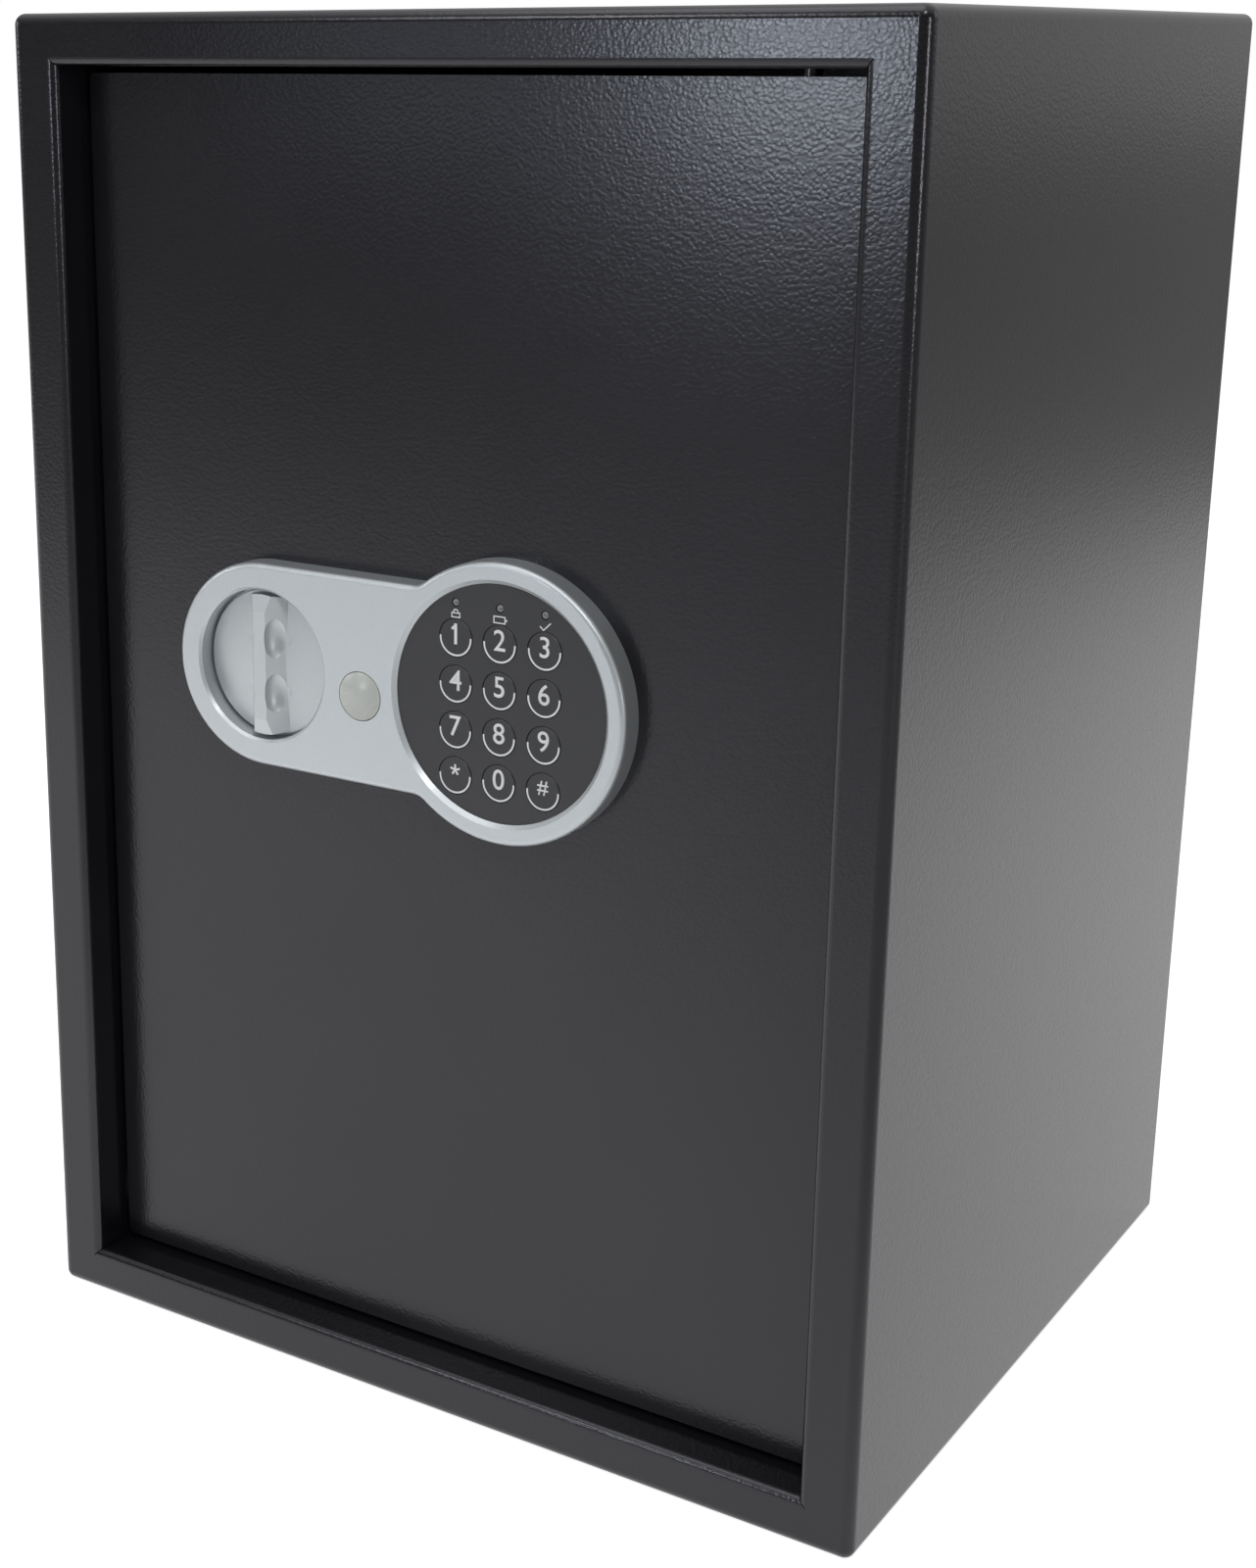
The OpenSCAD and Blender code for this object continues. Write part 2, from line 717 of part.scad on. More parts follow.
// The upper half of a section whose two outer corners are rounded
module crowned_section(half_w, t, r) {
  translate([-half_w, 0])
    square([2 * half_w, t - r]);
  translate([r - half_w, 0])
    square([2 * (half_w - r), t]);
  for (s = [-1, 1])
    translate([s * (half_w - r), t - r])
      circle(r);
}

// A block from z = 0 to z = d with rounded upright edges and a rounded front
module folded_box(w, h, d, r) {
  rotate([90, 0, 90])
    linear_extrude(w - 2 * r, center = true)
      crowned_section(h / 2, d, r);
  rotate([90, 0, 0])
    linear_extrude(h - 2 * r, center = true)
      crowned_section(w / 2, d, r);
  for (x = [-1, 1], y = [-1, 1])
    translate([x * (w / 2 - r), y * (h / 2 - r), 0]) {
      cylinder(h = d - r, r = r);
      translate([0, 0, d - r])
        sphere(r);
    }
}

// The door's frame of reference
module on_door() {
  translate([0, door_face_y, 0])
    rotate([90, 0, 0])
      children();
}

// Section of one lip: Y runs into the cabinet and Z away from the opening
module lip_section() {
  translate([lip_out_r, 0])
    square([lip_d - lip_out_r, sheet_t]);
  difference() {
    intersection() {
      translate([lip_out_r, lip_out_r])
        circle(lip_out_r);
      square(lip_out_r);
    }
    translate([lip_out_r, lip_out_r])
      circle(lip_in_r);
  }
}

// One mitred lip along X
module lip_strip(length) {
  half = length / 2 - mitre_seam / 2;
  intersection() {
    rotate([90, 0, 90])
      linear_extrude(length + 2 * lip_out_r, center = true)
        lip_section();
    translate([0, lip_d, 0])
      rotate([90, 0, 0])
        linear_extrude(lip_d)
          polygon([[-half, 0], [half, 0], [half + lip_out_r, lip_out_r],
            [-half - lip_out_r, lip_out_r]]);
  }
}

module hinge_notches() {
  for (end = [-1, 1])
    translate([hinge_x - bracket_w / 2, hinge_y - bracket_front,
        mid_z + end * open_h / 2 - (end < 0 ? bracket_t : 0)])
      cube([bracket_w, bracket_front + bracket_back, bracket_t]);
}

module base_anchor_holes(r) {
  for (x = [-1, 1], y = [-1, 1])
    translate([x * base_anchor_dx / 2, y * base_anchor_dy / 2, -1])
      cylinder(h = sheet_t + mat_t + 3, r = r);
}

module cabinet_body() {
  color(powder_black)
    difference() {
      union() {
        difference() {
          translate([0, back_y, mid_z])
            rotate([90, 0, 0])
              folded_box(cabinet_w, cabinet_h, cabinet_d, edge_out_r);
          translate([0, back_y + 1, mid_z])
            rotate([90, 0, 0])
              folded_box(inner_w, inner_h, cabinet_d + 1 - sheet_t, edge_in_r);
          translate([0, front_y, mid_z])
            cube([open_w + 2 * lip_out_r, 4 * sheet_t, open_h + 2 * lip_out_r], center = true);
        }
        translate([0, front_y, mid_z])
          for (turn = [0, 90, 180, 270])
            rotate([0, turn, 0])
              translate([0, 0, (turn % 180 == 0 ? open_h : open_w) / 2])
                lip_strip(turn % 180 == 0 ? open_w : open_h);
      }
      base_anchor_holes(anchor_r);
      hinge_notches();
    }
}

module back_panel() {
  color(powder_black)
    translate([0, back_y, mid_z])
      rotate([90, 0, 0])
        linear_extrude(back_t)
          difference() {
            rounded_rect(inner_w, inner_h, edge_in_r);
            for (s = [-1, 1])
              translate([s * back_anchor_dx / 2, back_anchor_z - mid_z])
                circle(anchor_r);
          }
}

// An angle welded to the lip and to the roof or floor
module hinge_bracket(end) {
  seat = mid_z + end * open_h / 2;
  wall = mid_z + end * inner_h / 2;
  difference() {
    union() {
      translate([hinge_x - bracket_w / 2, hinge_y - bracket_front, min(seat, seat + end * bracket_t)])
        cube([bracket_w, bracket_front + bracket_back, bracket_t]);
      translate([hinge_x - bracket_w / 2, hinge_y + bracket_back - bracket_t, min(seat, wall)])
        cube([bracket_w, bracket_t, abs(wall - seat)]);
    }
    translate([hinge_x, hinge_y, seat - 2 * bracket_t])
      cylinder(h = 4 * bracket_t, r = hinge_pin_r);
  }
}

module hinge_brackets() {
  color(powder_black)
    for (end = [-1, 1])
      hinge_bracket(end);
}

module hinge_pins() {
  color(powder_black)
    for (end = [-1, 1])
      translate([hinge_x, hinge_y, mid_z + end * (door_h / 2 - pin_reach)])
        mirror([0, 0, end < 0 ? 1 : 0])
          cylinder(h = pin_reach + door_gap + bracket_t, r = hinge_pin_r);
}

module shelf() {
  w = inner_w - 2 * shelf_clear;
  y0 = front_y + shelf_setback;
  color(powder_black) {
    translate([-w / 2, y0, shelf_z - shelf_t])
      cube([w, back_inner_y - shelf_clear - y0, shelf_t]);
    translate([support_w - w / 2 + 2, y0, shelf_z - shelf_fold])
      cube([w - 2 * support_w - 4, shelf_t, shelf_fold]);
  }
}

module shelf_supports() {
  y0 = front_y + shelf_setback + shelf_t + 4;
  color(powder_black)
    for (s = [0, 1])
      mirror([s, 0, 0])
        translate([inner_w / 2, back_inner_y, shelf_z - shelf_t])
          rotate([90, 0, 0])
            linear_extrude(back_inner_y - y0)
              polygon([[0, 0], [-support_w, 0], [-support_w, -support_t], [-support_t, -support_t],
                [-support_t, -support_h], [0, -support_h]]);
}

module floor_mat() {
  y0 = front_y + mat_setback;
  w = inner_w - 2 * (edge_in_r + mat_clear);
  color(felt_grey)
    difference() {
      translate([-w / 2, y0, sheet_t])
        cube([w, back_inner_y - mat_clear - y0, mat_t]);
      base_anchor_holes(anchor_r + mat_hole_clear);
    }
}

module door_plate() {
  color(powder_black)
    on_door()
      difference() {
        translate([0, 0, door_back])
          linear_extrude(door_t)
            difference() {
              translate([0, mid_z])
                rounded_rect(door_w, door_h, door_corner_r);
              translate([knob_x, lock_y])
                circle(bush_r);
              translate([override_x, override_y])
                circle(barrel_r);
              translate([keypad_x, cable_y])
                circle(cable_hole_r);
              for (p = esc_fixings)
                translate(p)
                  circle(esc_screw_r);
            }
        for (x = cover_screw_xs, s = [-1, 1])
          translate([x, lock_y + s * cover_screw_y, door_back - 1])
            cylinder(h = 1 + cover_screw_bite, r = cover_screw_r);
      }
}

module hinge_knuckles() {
  color(powder_black)
    for (end = [-1, 1])
      translate([hinge_x, hinge_y, mid_z + end * door_h / 2 - (end > 0 ? knuckle_h : 0)])
        difference() {
          union() {
            cylinder(h = knuckle_h, r = knuckle_r);
            translate([-knuckle_r, -knuckle_r, 0])
              cube([2 * knuckle_r, knuckle_r, knuckle_h]);
          }
          translate([0, 0, -1])
            cylinder(h = knuckle_h + 2, r = hinge_pin_r + hinge_clear);
        }
}

// The lock case's left wall, with a foot on the door plate
module bolt_guide() {
  color(zinc_steel)
    on_door()
      difference() {
        union() {
          translate([case_x, lock_y - case_half, case_back])
            cube([case_wall, 2 * case_half, case_d]);
          translate([case_x, lock_y - case_half + guide_foot_inset, door_back - guide_foot_t])
            cube([case_wall + guide_foot_w, 2 * (case_half - guide_foot_inset), guide_foot_t]);
        }
        for (s = [-1, 1])
          translate([case_x - 1, lock_y + s * bolt_dy, bolt_out])
            rotate([0, 90, 0])
              cylinder(h = case_wall + 2, r = bolt_r + bolt_clear);
      }
}

module at_guides() {
  for (dy = guide_dys)
    translate([guide_x, lock_y + dy, 0])
      children();
}

module guide_studs() {
  shoulder = carriage_front + guide_float;
  head = carriage_back - guide_float;
  color(bright_steel)
    on_door()
      at_guides()
        rotate_extrude()
          polygon([[0, door_back], [guide_head_r, door_back], [guide_head_r, shoulder],
            [guide_r, shoulder], [guide_r, head], [guide_head_r, head],
            [guide_head_r, head - guide_head_t], [0, head - guide_head_t]]);
}

// The block that joins bar and ring, its sides hollowed by two concave fillets
module join_block(run, rise) {
  difference() {
    linear_extrude(esc_t)
      polygon([[0, 0], [-run, rise], [-run, -rise]]);
    for (s = [-1, 1])
      translate([-run, s * rise, 0])
        rotate_extrude()
          difference() {
            union() {
              translate([0, -1])
                square([join_r, esc_t + 2]);
              translate([0, esc_t - esc_edge])
                square([join_r + esc_edge, esc_edge + 1]);
            }
            translate([join_r + esc_edge, esc_t - esc_edge])
              circle(esc_edge);
          }
  }
}

// Part of a turned puck with a rounded front edge
module puck(r, from, sweep) {
  rotate([0, 0, from])
    rotate_extrude(angle = sweep)
      intersection() {
        crowned_section(r, esc_t, esc_edge);
        square([r + 1, esc_t + 1]);
      }
}

// Outside form of the escutcheon, in four pieces that meet face to face
module escutcheon_form() {
  reach = ring_r + join_r;
  rise = bar_half + join_r;
  run = sqrt(reach * reach - rise * rise);
  side = 180 - atan2(rise, run);
  translate([knob_x, lock_y, 0]) {
    puck(bar_half, 90, 180);
    rotate([90, 0, 90])
      linear_extrude(keypad_dx - run)
        crowned_section(bar_half, esc_t, esc_edge);
  }
  translate([keypad_x, lock_y, 0]) {
    puck(ring_r, -side, 2 * side);
    join_block(run, rise);
  }
}

module escutcheon() {
  hollow = bar_half - esc_wall;
  color(silver_paint)
    on_door()
      difference() {
        union() {
          difference() {
            escutcheon_form();
            translate([0, 0, -1])
              linear_extrude(esc_t - esc_wall + 1)
                difference() {
                  union() {
                    translate([knob_x, lock_y])
                      circle(hollow);
                    translate([knob_x, lock_y - hollow])
                      square([keypad_dx, 2 * hollow]);
                  }
                  translate([keypad_x, lock_y])
                    circle(well_r + esc_wall);
                }
          }
          translate([knob_x, lock_y, 0])
            cylinder(h = esc_t - 1, r = cup_r + esc_wall);
          translate([override_x, override_y, 0])
            cylinder(h = esc_t - 1, r = cap_hole_r + cap_wall);
          for (p = bar_fixings)
            translate(p)
              cylinder(h = esc_t - 1, r = esc_boss_r);
          for (s = [-1, 1])
            translate([knob_x, lock_y + s * rib_dy - rib_t / 2, 0])
              cube([keypad_dx - well_r - 1, rib_t, esc_t - 1]);
        }
        translate([knob_x, lock_y, cup_floor])
          cylinder(h = esc_t, r = cup_r);
        translate([knob_x, lock_y, esc_t - cup_bevel])
          cylinder(h = cup_bevel + 1, r1 = cup_r, r2 = cup_r + cup_bevel + 1);
        translate([knob_x, lock_y, -1])
          cylinder(h = esc_t, r = bush_r + bush_gap);
        translate([override_x, override_y, -1])
          cylinder(h = esc_t + 2, r = cap_hole_r);
        translate([keypad_x, lock_y, 0])
          rotate_extrude()
            polygon([[0, -1], [well_r, -1], [well_r, board_front], [ledge_r, board_front],
              [ledge_r, panel_back], [seat_r, panel_back], [seat_r, esc_t - ring_bevel],
              [seat_r + ring_bevel + 1, esc_t + 1], [0, esc_t + 1]]);
        for (p = esc_fixings)
          translate([p[0], p[1], -1])
            cylinder(h = 1 + esc_screw_bite, r = esc_screw_r);
      }
}

module escutcheon_screws() {
  color(bright_steel)
    on_door()
      for (p = esc_fixings)
        translate([p[0], p[1], door_back - esc_head_t]) {
          cylinder(h = esc_head_t + door_t + esc_screw_bite, r = esc_screw_r);
          cylinder(h = esc_head_t, r = 2 * esc_screw_r);
        }
}

// Place of key number k, counted along the rows from the top left
function key_at(k) = [keypad_x + (k % 3 - 1) * key_pitch_x,
  lock_y + key_top_y - floor(k / 3) * key_pitch_y];

function lamp_at(i) = [keypad_x + i * key_pitch_x, lock_y + lamp_y];

module keypad_panel() {
  color(panel_black)
    on_door()
      translate([0, 0, panel_back])
        difference() {
          linear_extrude(panel_t)
            difference() {
              translate([keypad_x, lock_y])
                circle(panel_r);
              for (k = [0:11])
                translate(key_at(k))
                  circle(key_r + key_gap);
              for (i = [-1:1])
                translate(lamp_at(i))
                  circle(lamp_r + lamp_gap);
            }
          for (k = [0:11])
            translate(concat(key_at(k), [-1]))
              cylinder(h = 1 + panel_t - key_web, r = key_r + key_collar + key_gap);
        }
}

module key_button(k) {
  p = key_at(k);
  front = panel_front + key_proud;
  color(panel_black)
    on_door()
      translate([p[0], p[1], 0])
        rotate_extrude()
          polygon([[0, key_back], [key_r + key_collar, key_back],
            [key_r + key_collar, collar_front], [key_r, collar_front],
            [key_r, front - key_bevel], [key_r - key_bevel, front], [0, front - key_dish]]);
}

module keypad_board() {
  color("#1f5a36")
    on_door() {
      translate([keypad_x, lock_y, board_front - board_t])
        cylinder(h = board_t, r = well_r - board_gap);
      translate([keypad_x - socket_w / 2, cable_y - socket_drop, board_front - board_t - socket_t])
        cube([socket_w, socket_h, socket_t]);
    }
}

module key_switches() {
  top = key_back - key_travel - switch_gap;
  color("#555558")
    on_door()
      for (k = [0:11])
        translate(concat(key_at(k), [board_front])) {
          linear_extrude((top - board_front) / 2)
            square(switch_w, center = true);
          cylinder(h = top - board_front, r = switch_post_r);
        }
}

module status_lamps() {
  color("#6b1c1c")
    on_door()
      for (i = [-1:1])
        translate(concat(lamp_at(i), [board_front]))
          rotate_extrude()
            intersection() {
              union() {
                square([lamp_r, lamp_stem]);
                translate([0, lamp_stem])
                  circle(lamp_r);
              }
              square([lamp_r, lamp_stem + lamp_r]);
            }
}

module knob_bush() {
  color("#c8b88a")
    on_door()
      translate([knob_x, lock_y, 0])
        difference() {
          union() {
            translate([0, 0, bush_back])
              cylinder(h = cup_floor - bush_drop - bush_back, r = bush_r);
            translate([0, 0, bush_back])
              cylinder(h = bush_flange_t, r = bush_flange_r);
          }
          translate([0, 0, bush_back - 1])
            cylinder(h = esc_t - bush_back, r = spindle_r + spindle_clear);
        }
}

module grip() {
  intersection() {
    rotate([-90, 0, 0])
      linear_extrude(2 * grip_len, center = true)
        polygon([[-grip_foot, -knob_back], [grip_foot, -knob_back], [grip_crest, -grip_top],
          [-grip_crest, -grip_top]]);
    rotate([90, 0, 90])
      linear_extrude(2 * grip_foot + 2, center = true)
        polygon([[-grip_len, knob_back], [grip_len, knob_back], [grip_len, grip_end_top],
          [grip_crest_len, grip_top], [-grip_crest_len, grip_top], [-grip_len, grip_end_top]]);
    cylinder(h = grip_top + 1, r = grip_len);
  }
}

// Long hollow for a finger, pointed at both ends
module finger_hollow() {
  arc_r = (hollow_len * hollow_len + hollow_r * hollow_r) / (2 * hollow_r);
  rotate([90, 0, 0])
    rotate_extrude()
      intersection() {
        translate([hollow_r - arc_r, 0])
          circle(arc_r);
        translate([0, -hollow_len])
          square([hollow_r, 2 * hollow_len]);
      }
}

module knob() {
  color(silver_paint)
    on_door()
      translate([knob_x, lock_y, 0])
        difference() {
          union() {
            rotate_extrude()
              polygon([[0, knob_back], [knob_r - knob_chamfer, knob_back],
                [knob_r, knob_back + knob_chamfer], [knob_r, knob_back + knob_rim_t - knob_bevel],
                [knob_r - knob_bevel, knob_back + knob_rim_t], [0, knob_back + knob_mid_t]]);
            grip();
          }
          for (x = [-1, 1], y = [-1, 1])
            translate([x * (grip_waist + hollow_r), y * hollow_dy,
                knob_back + hollow_floor + hollow_r])
              finger_hollow();
          translate([0, 0, -1])
            cylinder(h = 1 + knob_back + spindle_seat, r = spindle_r);
        }
}

module knob_spindle() {
  color(bright_steel)
    on_door()
      translate([knob_x, lock_y, crank_back])
        cylinder(h = knob_back + spindle_seat - crank_back, r = spindle_r);
}

module bolt_crank() {
  color(zinc_steel)
    on_door()
      translate([knob_x, lock_y, crank_back])
        rotate([0, 0, -crank_swing]) {
          linear_extrude(crank_t)
            difference() {
              union() {
                circle(crank_hub_r);
                translate([-crank_end_r, 0])
                  square([2 * crank_end_r, crank_r]);
                translate([0, crank_r])
                  circle(crank_end_r);
              }
              circle(spindle_r);
            }
          translate([0, crank_r, carriage_back - crank_back - crank_pin_proud])
            cylinder(h = crank_back - carriage_back + crank_pin_proud, r = crank_pin_r);
        }
}

module guide_slot() {
  translate([0, -guide_slot_r])
    square([throw, 2 * guide_slot_r]);
  for (x = [0, throw])
    translate([x, 0])
      circle(guide_slot_r);
}

module crank_slot() {
  translate([slot_x - slot_r, lock_y + slot_low])
    square([2 * slot_r, crank_r - slot_low]);
  for (y = [slot_low, crank_r])
    translate([slot_x, lock_y + y])
      circle(slot_r);
}

// The carriage plate, its flange behind the bolts and the lug over the solenoid
module bolt_carriage() {
  color(zinc_steel)
    on_door()
      difference() {
        union() {
          translate([0, 0, carriage_back])
            linear_extrude(carriage_t)
              difference() {
                union() {
                  translate([carriage_x, lock_y - carriage_half])
                    square([carriage_w, 2 * carriage_half]);
                  translate([carriage_x, lock_y - tongue_low])
                    square([carriage_end - carriage_x, tongue_low + tongue_high]);
                }
                crank_slot();
                for (dy = guide_dys)
                  translate([guide_x, lock_y + dy])
                    guide_slot();
                for (s = [-1, 1])
                  translate([carriage_x + carriage_t, lock_y + s * bolt_dy - bolt_nut_r - nut_room])
                    square([bolt_nut_t + nut_room, 2 * (bolt_nut_r + nut_room)]);
              }
          translate([carriage_x, lock_y - carriage_half, flange_back])
            cube([carriage_t, 2 * carriage_half, carriage_front - flange_back]);
          translate([carriage_end - carriage_t, lug_low, flange_back + lug_trim])
            cube([carriage_t, lug_drop + tongue_low, carriage_front - flange_back - lug_trim]);
        }
        for (s = [-1, 1])
          translate([carriage_x - 1, lock_y + s * bolt_dy, bolt_out])
            rotate([0, 90, 0])
              cylinder(h = carriage_t + 2, r = bolt_stud_r);
      }
}

module live_bolts() {
  shank = carriage_x - bolt_tip_x;
  whole = shank + carriage_t + bolt_nut_t + thread_proud;
  color(bright_steel)
    on_door()
      for (s = [-1, 1])
        translate([bolt_tip_x, lock_y + s * bolt_dy, bolt_out])
          rotate([0, 90, 0])
            rotate_extrude()
              polygon([[0, 0], [bolt_r - bolt_chamfer, 0], [bolt_r, bolt_chamfer], [bolt_r, shank],
                [bolt_stud_r, shank], [bolt_stud_r, whole], [0, whole]]);
}

module bolt_nuts() {
  color(zinc_steel)
    on_door()
      for (s = [-1, 1])
        translate([carriage_x + carriage_t, lock_y + s * bolt_dy, bolt_out])
          rotate([0, 90, 0])
            difference() {
              cylinder(h = bolt_nut_t, r = bolt_nut_r, $fn = 6);
              translate([0, 0, -1])
                cylinder(h = bolt_nut_t + 2, r = bolt_stud_r);
            }
}

// An open frame: two end plates and a back plate on the door
module solenoid_frame() {
  color(zinc_steel)
    on_door()
      translate([sol_x, sol_low, 0])
        difference() {
          translate([-sol_w / 2, 0, door_back - sol_d])
            cube([sol_w, sol_h, sol_d]);
          translate([-sol_w / 2 - 1, sol_t, door_back - sol_d - 1])
            cube([sol_w + 2, sol_h - 2 * sol_t, sol_d + 1 - sol_t]);
          translate([0, sol_h + 1, sol_axis])
            rotate([90, 0, 0])
              cylinder(h = sol_t + 2, r = plunger_r + plunger_gap);
        }
}

module solenoid_coil() {
  color("#7a2e1e")
    on_door()
      translate([sol_x, sol_low + sol_h - sol_t, sol_axis])
        rotate([90, 0, 0])
          difference() {
            cylinder(h = sol_h - 2 * sol_t, r = coil_r);
            translate([0, 0, -1])
              cylinder(h = sol_h - 2 * sol_t + 2, r = plunger_r + plunger_gap);
          }
}

module solenoid_plunger() {
  color(bright_steel)
    on_door()
      translate([sol_x, plunger_low, sol_axis])
        rotate([-90, 0, 0])
          rotate_extrude() {
            square([plunger_r, plunger_top - plunger_low]);
            translate([0, collar_top - collar_t - plunger_low])
              square([collar_r, collar_t]);
          }
}

// A closed tube through rings of points, each ring with the same number of sides
module ring_tube(points, sides) {
  last = len(points) / sides - 1;
  walls = [for (i = [0:last - 1], j = [0:sides - 1]) each let (
      a = i * sides + j,
      b = i * sides + (j + 1) % sides)
    [[a, a + sides, b], [b, a + sides, b + sides]]];
  ends = [[for (j = [0:sides - 1]) j], [for (j = [sides - 1:-1:0]) last * sides + j]];
  polyhedron(points, concat(walls, ends));
}

// A point of the spring's wire: a is the turn's angle and b goes round the wire
function spring_point(a, b, pitch) = let (reach = spring_r + spring_wire_r * cos(b))
  [reach * cos(a), reach * sin(a), pitch * a / 360 + spring_wire_r * sin(b)];

module plunger_spring() {
  sides = 6;
  turn = 22.5;
  pitch = (spring_len - 2 * (spring_wire_r + spring_end_gap)) / spring_turns;
  color(bright_steel)
    on_door()
      translate([sol_x, spring_low + spring_wire_r + spring_end_gap, sol_axis])
        rotate([-90, 0, 0])
          ring_tube([for (a = [0:turn:360 * spring_turns], j = [0:sides - 1])
            spring_point(a, j * 360 / sides, pitch)], sides);
}

module override_barrel() {
  color(bright_steel)
    on_door()
      translate([override_x, override_y, barrel_rear])
        difference() {
          cylinder(h = barrel_back + barrel_front, r = barrel_r);
          translate([0, 0, -1])
            cylinder(h = barrel_back + barrel_front + 2, r = plug_r + plug_clear);
        }
}

module override_nut() {
  color(zinc_steel)
    on_door()
      translate([override_x, override_y, door_back - nut_t])
        difference() {
          cylinder(h = nut_t, r = barrel_r + nut_wall, $fn = 6);
          translate([0, 0, -1])
            cylinder(h = nut_t + 2, r = barrel_r);
        }
}

module override_plug() {
  color("#b8a25a")
    on_door()
      translate([override_x, override_y, 0])
        difference() {
          union() {
            translate([0, 0, barrel_rear])
              cylinder(h = barrel_back + barrel_front - plug_drop, r = plug_r);
            translate([0, 0, tail_rear])
              cylinder(h = barrel_rear - tail_rear, r = tail_r);
          }
          translate([0, 0, barrel_front - keyway_d])
            linear_extrude(keyway_d + 1)
              square([keyway_w, keyway_h], center = true);
        }
}

module override_cam() {
  color(zinc_steel)
    on_door()
      translate([override_x, override_y, barrel_rear - cam_t])
        linear_extrude(cam_t)
          difference() {
            union() {
              circle(tail_r + cam_eye);
              translate([-cam_w / 2, -cam_len])
                square([cam_w, cam_len]);
              translate([0, -cam_len])
                circle(cam_w / 2);
            }
            circle(tail_r);
          }
}

module override_cap() {
  r = cap_hole_r - cap_gap;
  dome_r = (r * r + cap_dome * cap_dome) / (2 * cap_dome);
  color(cap_green)
    on_door()
      translate([override_x, override_y, cap_back])
        rotate_extrude()
          intersection() {
            translate([0, cap_t + cap_dome - dome_r])
              circle(dome_r, $fn = 720);
            square([r, cap_t + cap_dome]);
          }
}

module control_board() {
  color("#1f5a36")
    on_door()
      translate([control_x, control_y, control_back]) {
        cube([control_w, control_h, board_t]);
        translate([keypad_x - control_x - socket_w / 2, plug_edge, -plug_h])
          cube([socket_w, plug_h, plug_h]);
        for (x = plug_xs)
          translate([x - control_x - plug_w / 2, plug_edge, -plug_h])
            cube([plug_w, plug_h, plug_h]);
        for (x = [0.12, 0.3])
          translate([x * control_w, 0.62 * control_h, -capacitor_h])
            cylinder(h = capacitor_h, r = capacitor_r);
        translate([0.6 * control_w, 0.48 * control_h, -chip_t])
          cube([chip_w, chip_w, chip_t]);
        translate([0.84 * control_w, 0.3 * control_h, -buzzer_h])
          cylinder(h = buzzer_h, r = buzzer_r);
      }
}

module board_spacers() {
  color(bright_steel)
    on_door()
      for (x = [spacer_inset, control_w - spacer_inset], y = [spacer_inset, control_h - spacer_inset])
        translate([control_x + x, control_y + y, control_front])
          cylinder(h = spacer_h, r = spacer_r);
}

// A flat cable from the keypad board through the door plate to the control board
module ribbon_cable() {
  socket_out = board_front - board_t - socket_t - ribbon_t / 2;
  plug_out = control_back - plug_h / 2;
  route = [[cable_y - socket_drop + socket_h / 2, socket_out], [cable_y, socket_out - ribbon_t / 2],
    [cable_y + 1, door_back - 6], [control_y - 8, plug_out], [control_y + plug_edge, plug_out]];
  color("#b0b2b4")
    on_door()
      translate([keypad_x, 0, 0])
        rotate([90, 0, 90])
          linear_extrude(ribbon_w, center = true) {
            for (i = [0:len(route) - 2]) {
              step = route[i + 1] - route[i];
              translate(route[i])
                rotate(atan2(step[1], step[0]))
                  translate([0, -ribbon_t / 2])
                    square([norm(step), ribbon_t]);
            }
            for (i = [1:len(route) - 2])
              translate(route[i])
                circle(ribbon_t / 2);
          }
}

// A point between p and q on a smooth curve that also passes o and r
function between(o, p, q, r, t) = (2 * p + (q - o) * t + (2 * o - 5 * p + 4 * q - r) * t * t
  + (3 * p - o - 3 * q + r) * t * t * t) / 2;

// A round lead on a smooth curve through the points
module lead(through) {
  sides = 8;
  parts = 5;
  last = len(through) - 1;
  path = concat([through[0]], [for (k = [0:last - 1], i = [1:parts])
    between(through[max(k - 1, 0)], through[k], through[k + 1], through[min(k + 2, last)],
      i / parts)]);
  count = len(path) - 1;
  ring_tube([for (i = [0:count], j = [0:sides - 1]) let (
      along = path[min(i + 1, count)] - path[max(i - 1, 0)],
      side = cross(along, [0, 0, 1]) / norm(cross(along, [0, 0, 1])),
      up = cross(side, along) / norm(along))
    path[i] + lead_r * (side * cos(j * 360 / sides) + up * sin(j * 360 / sides))], sides);
}

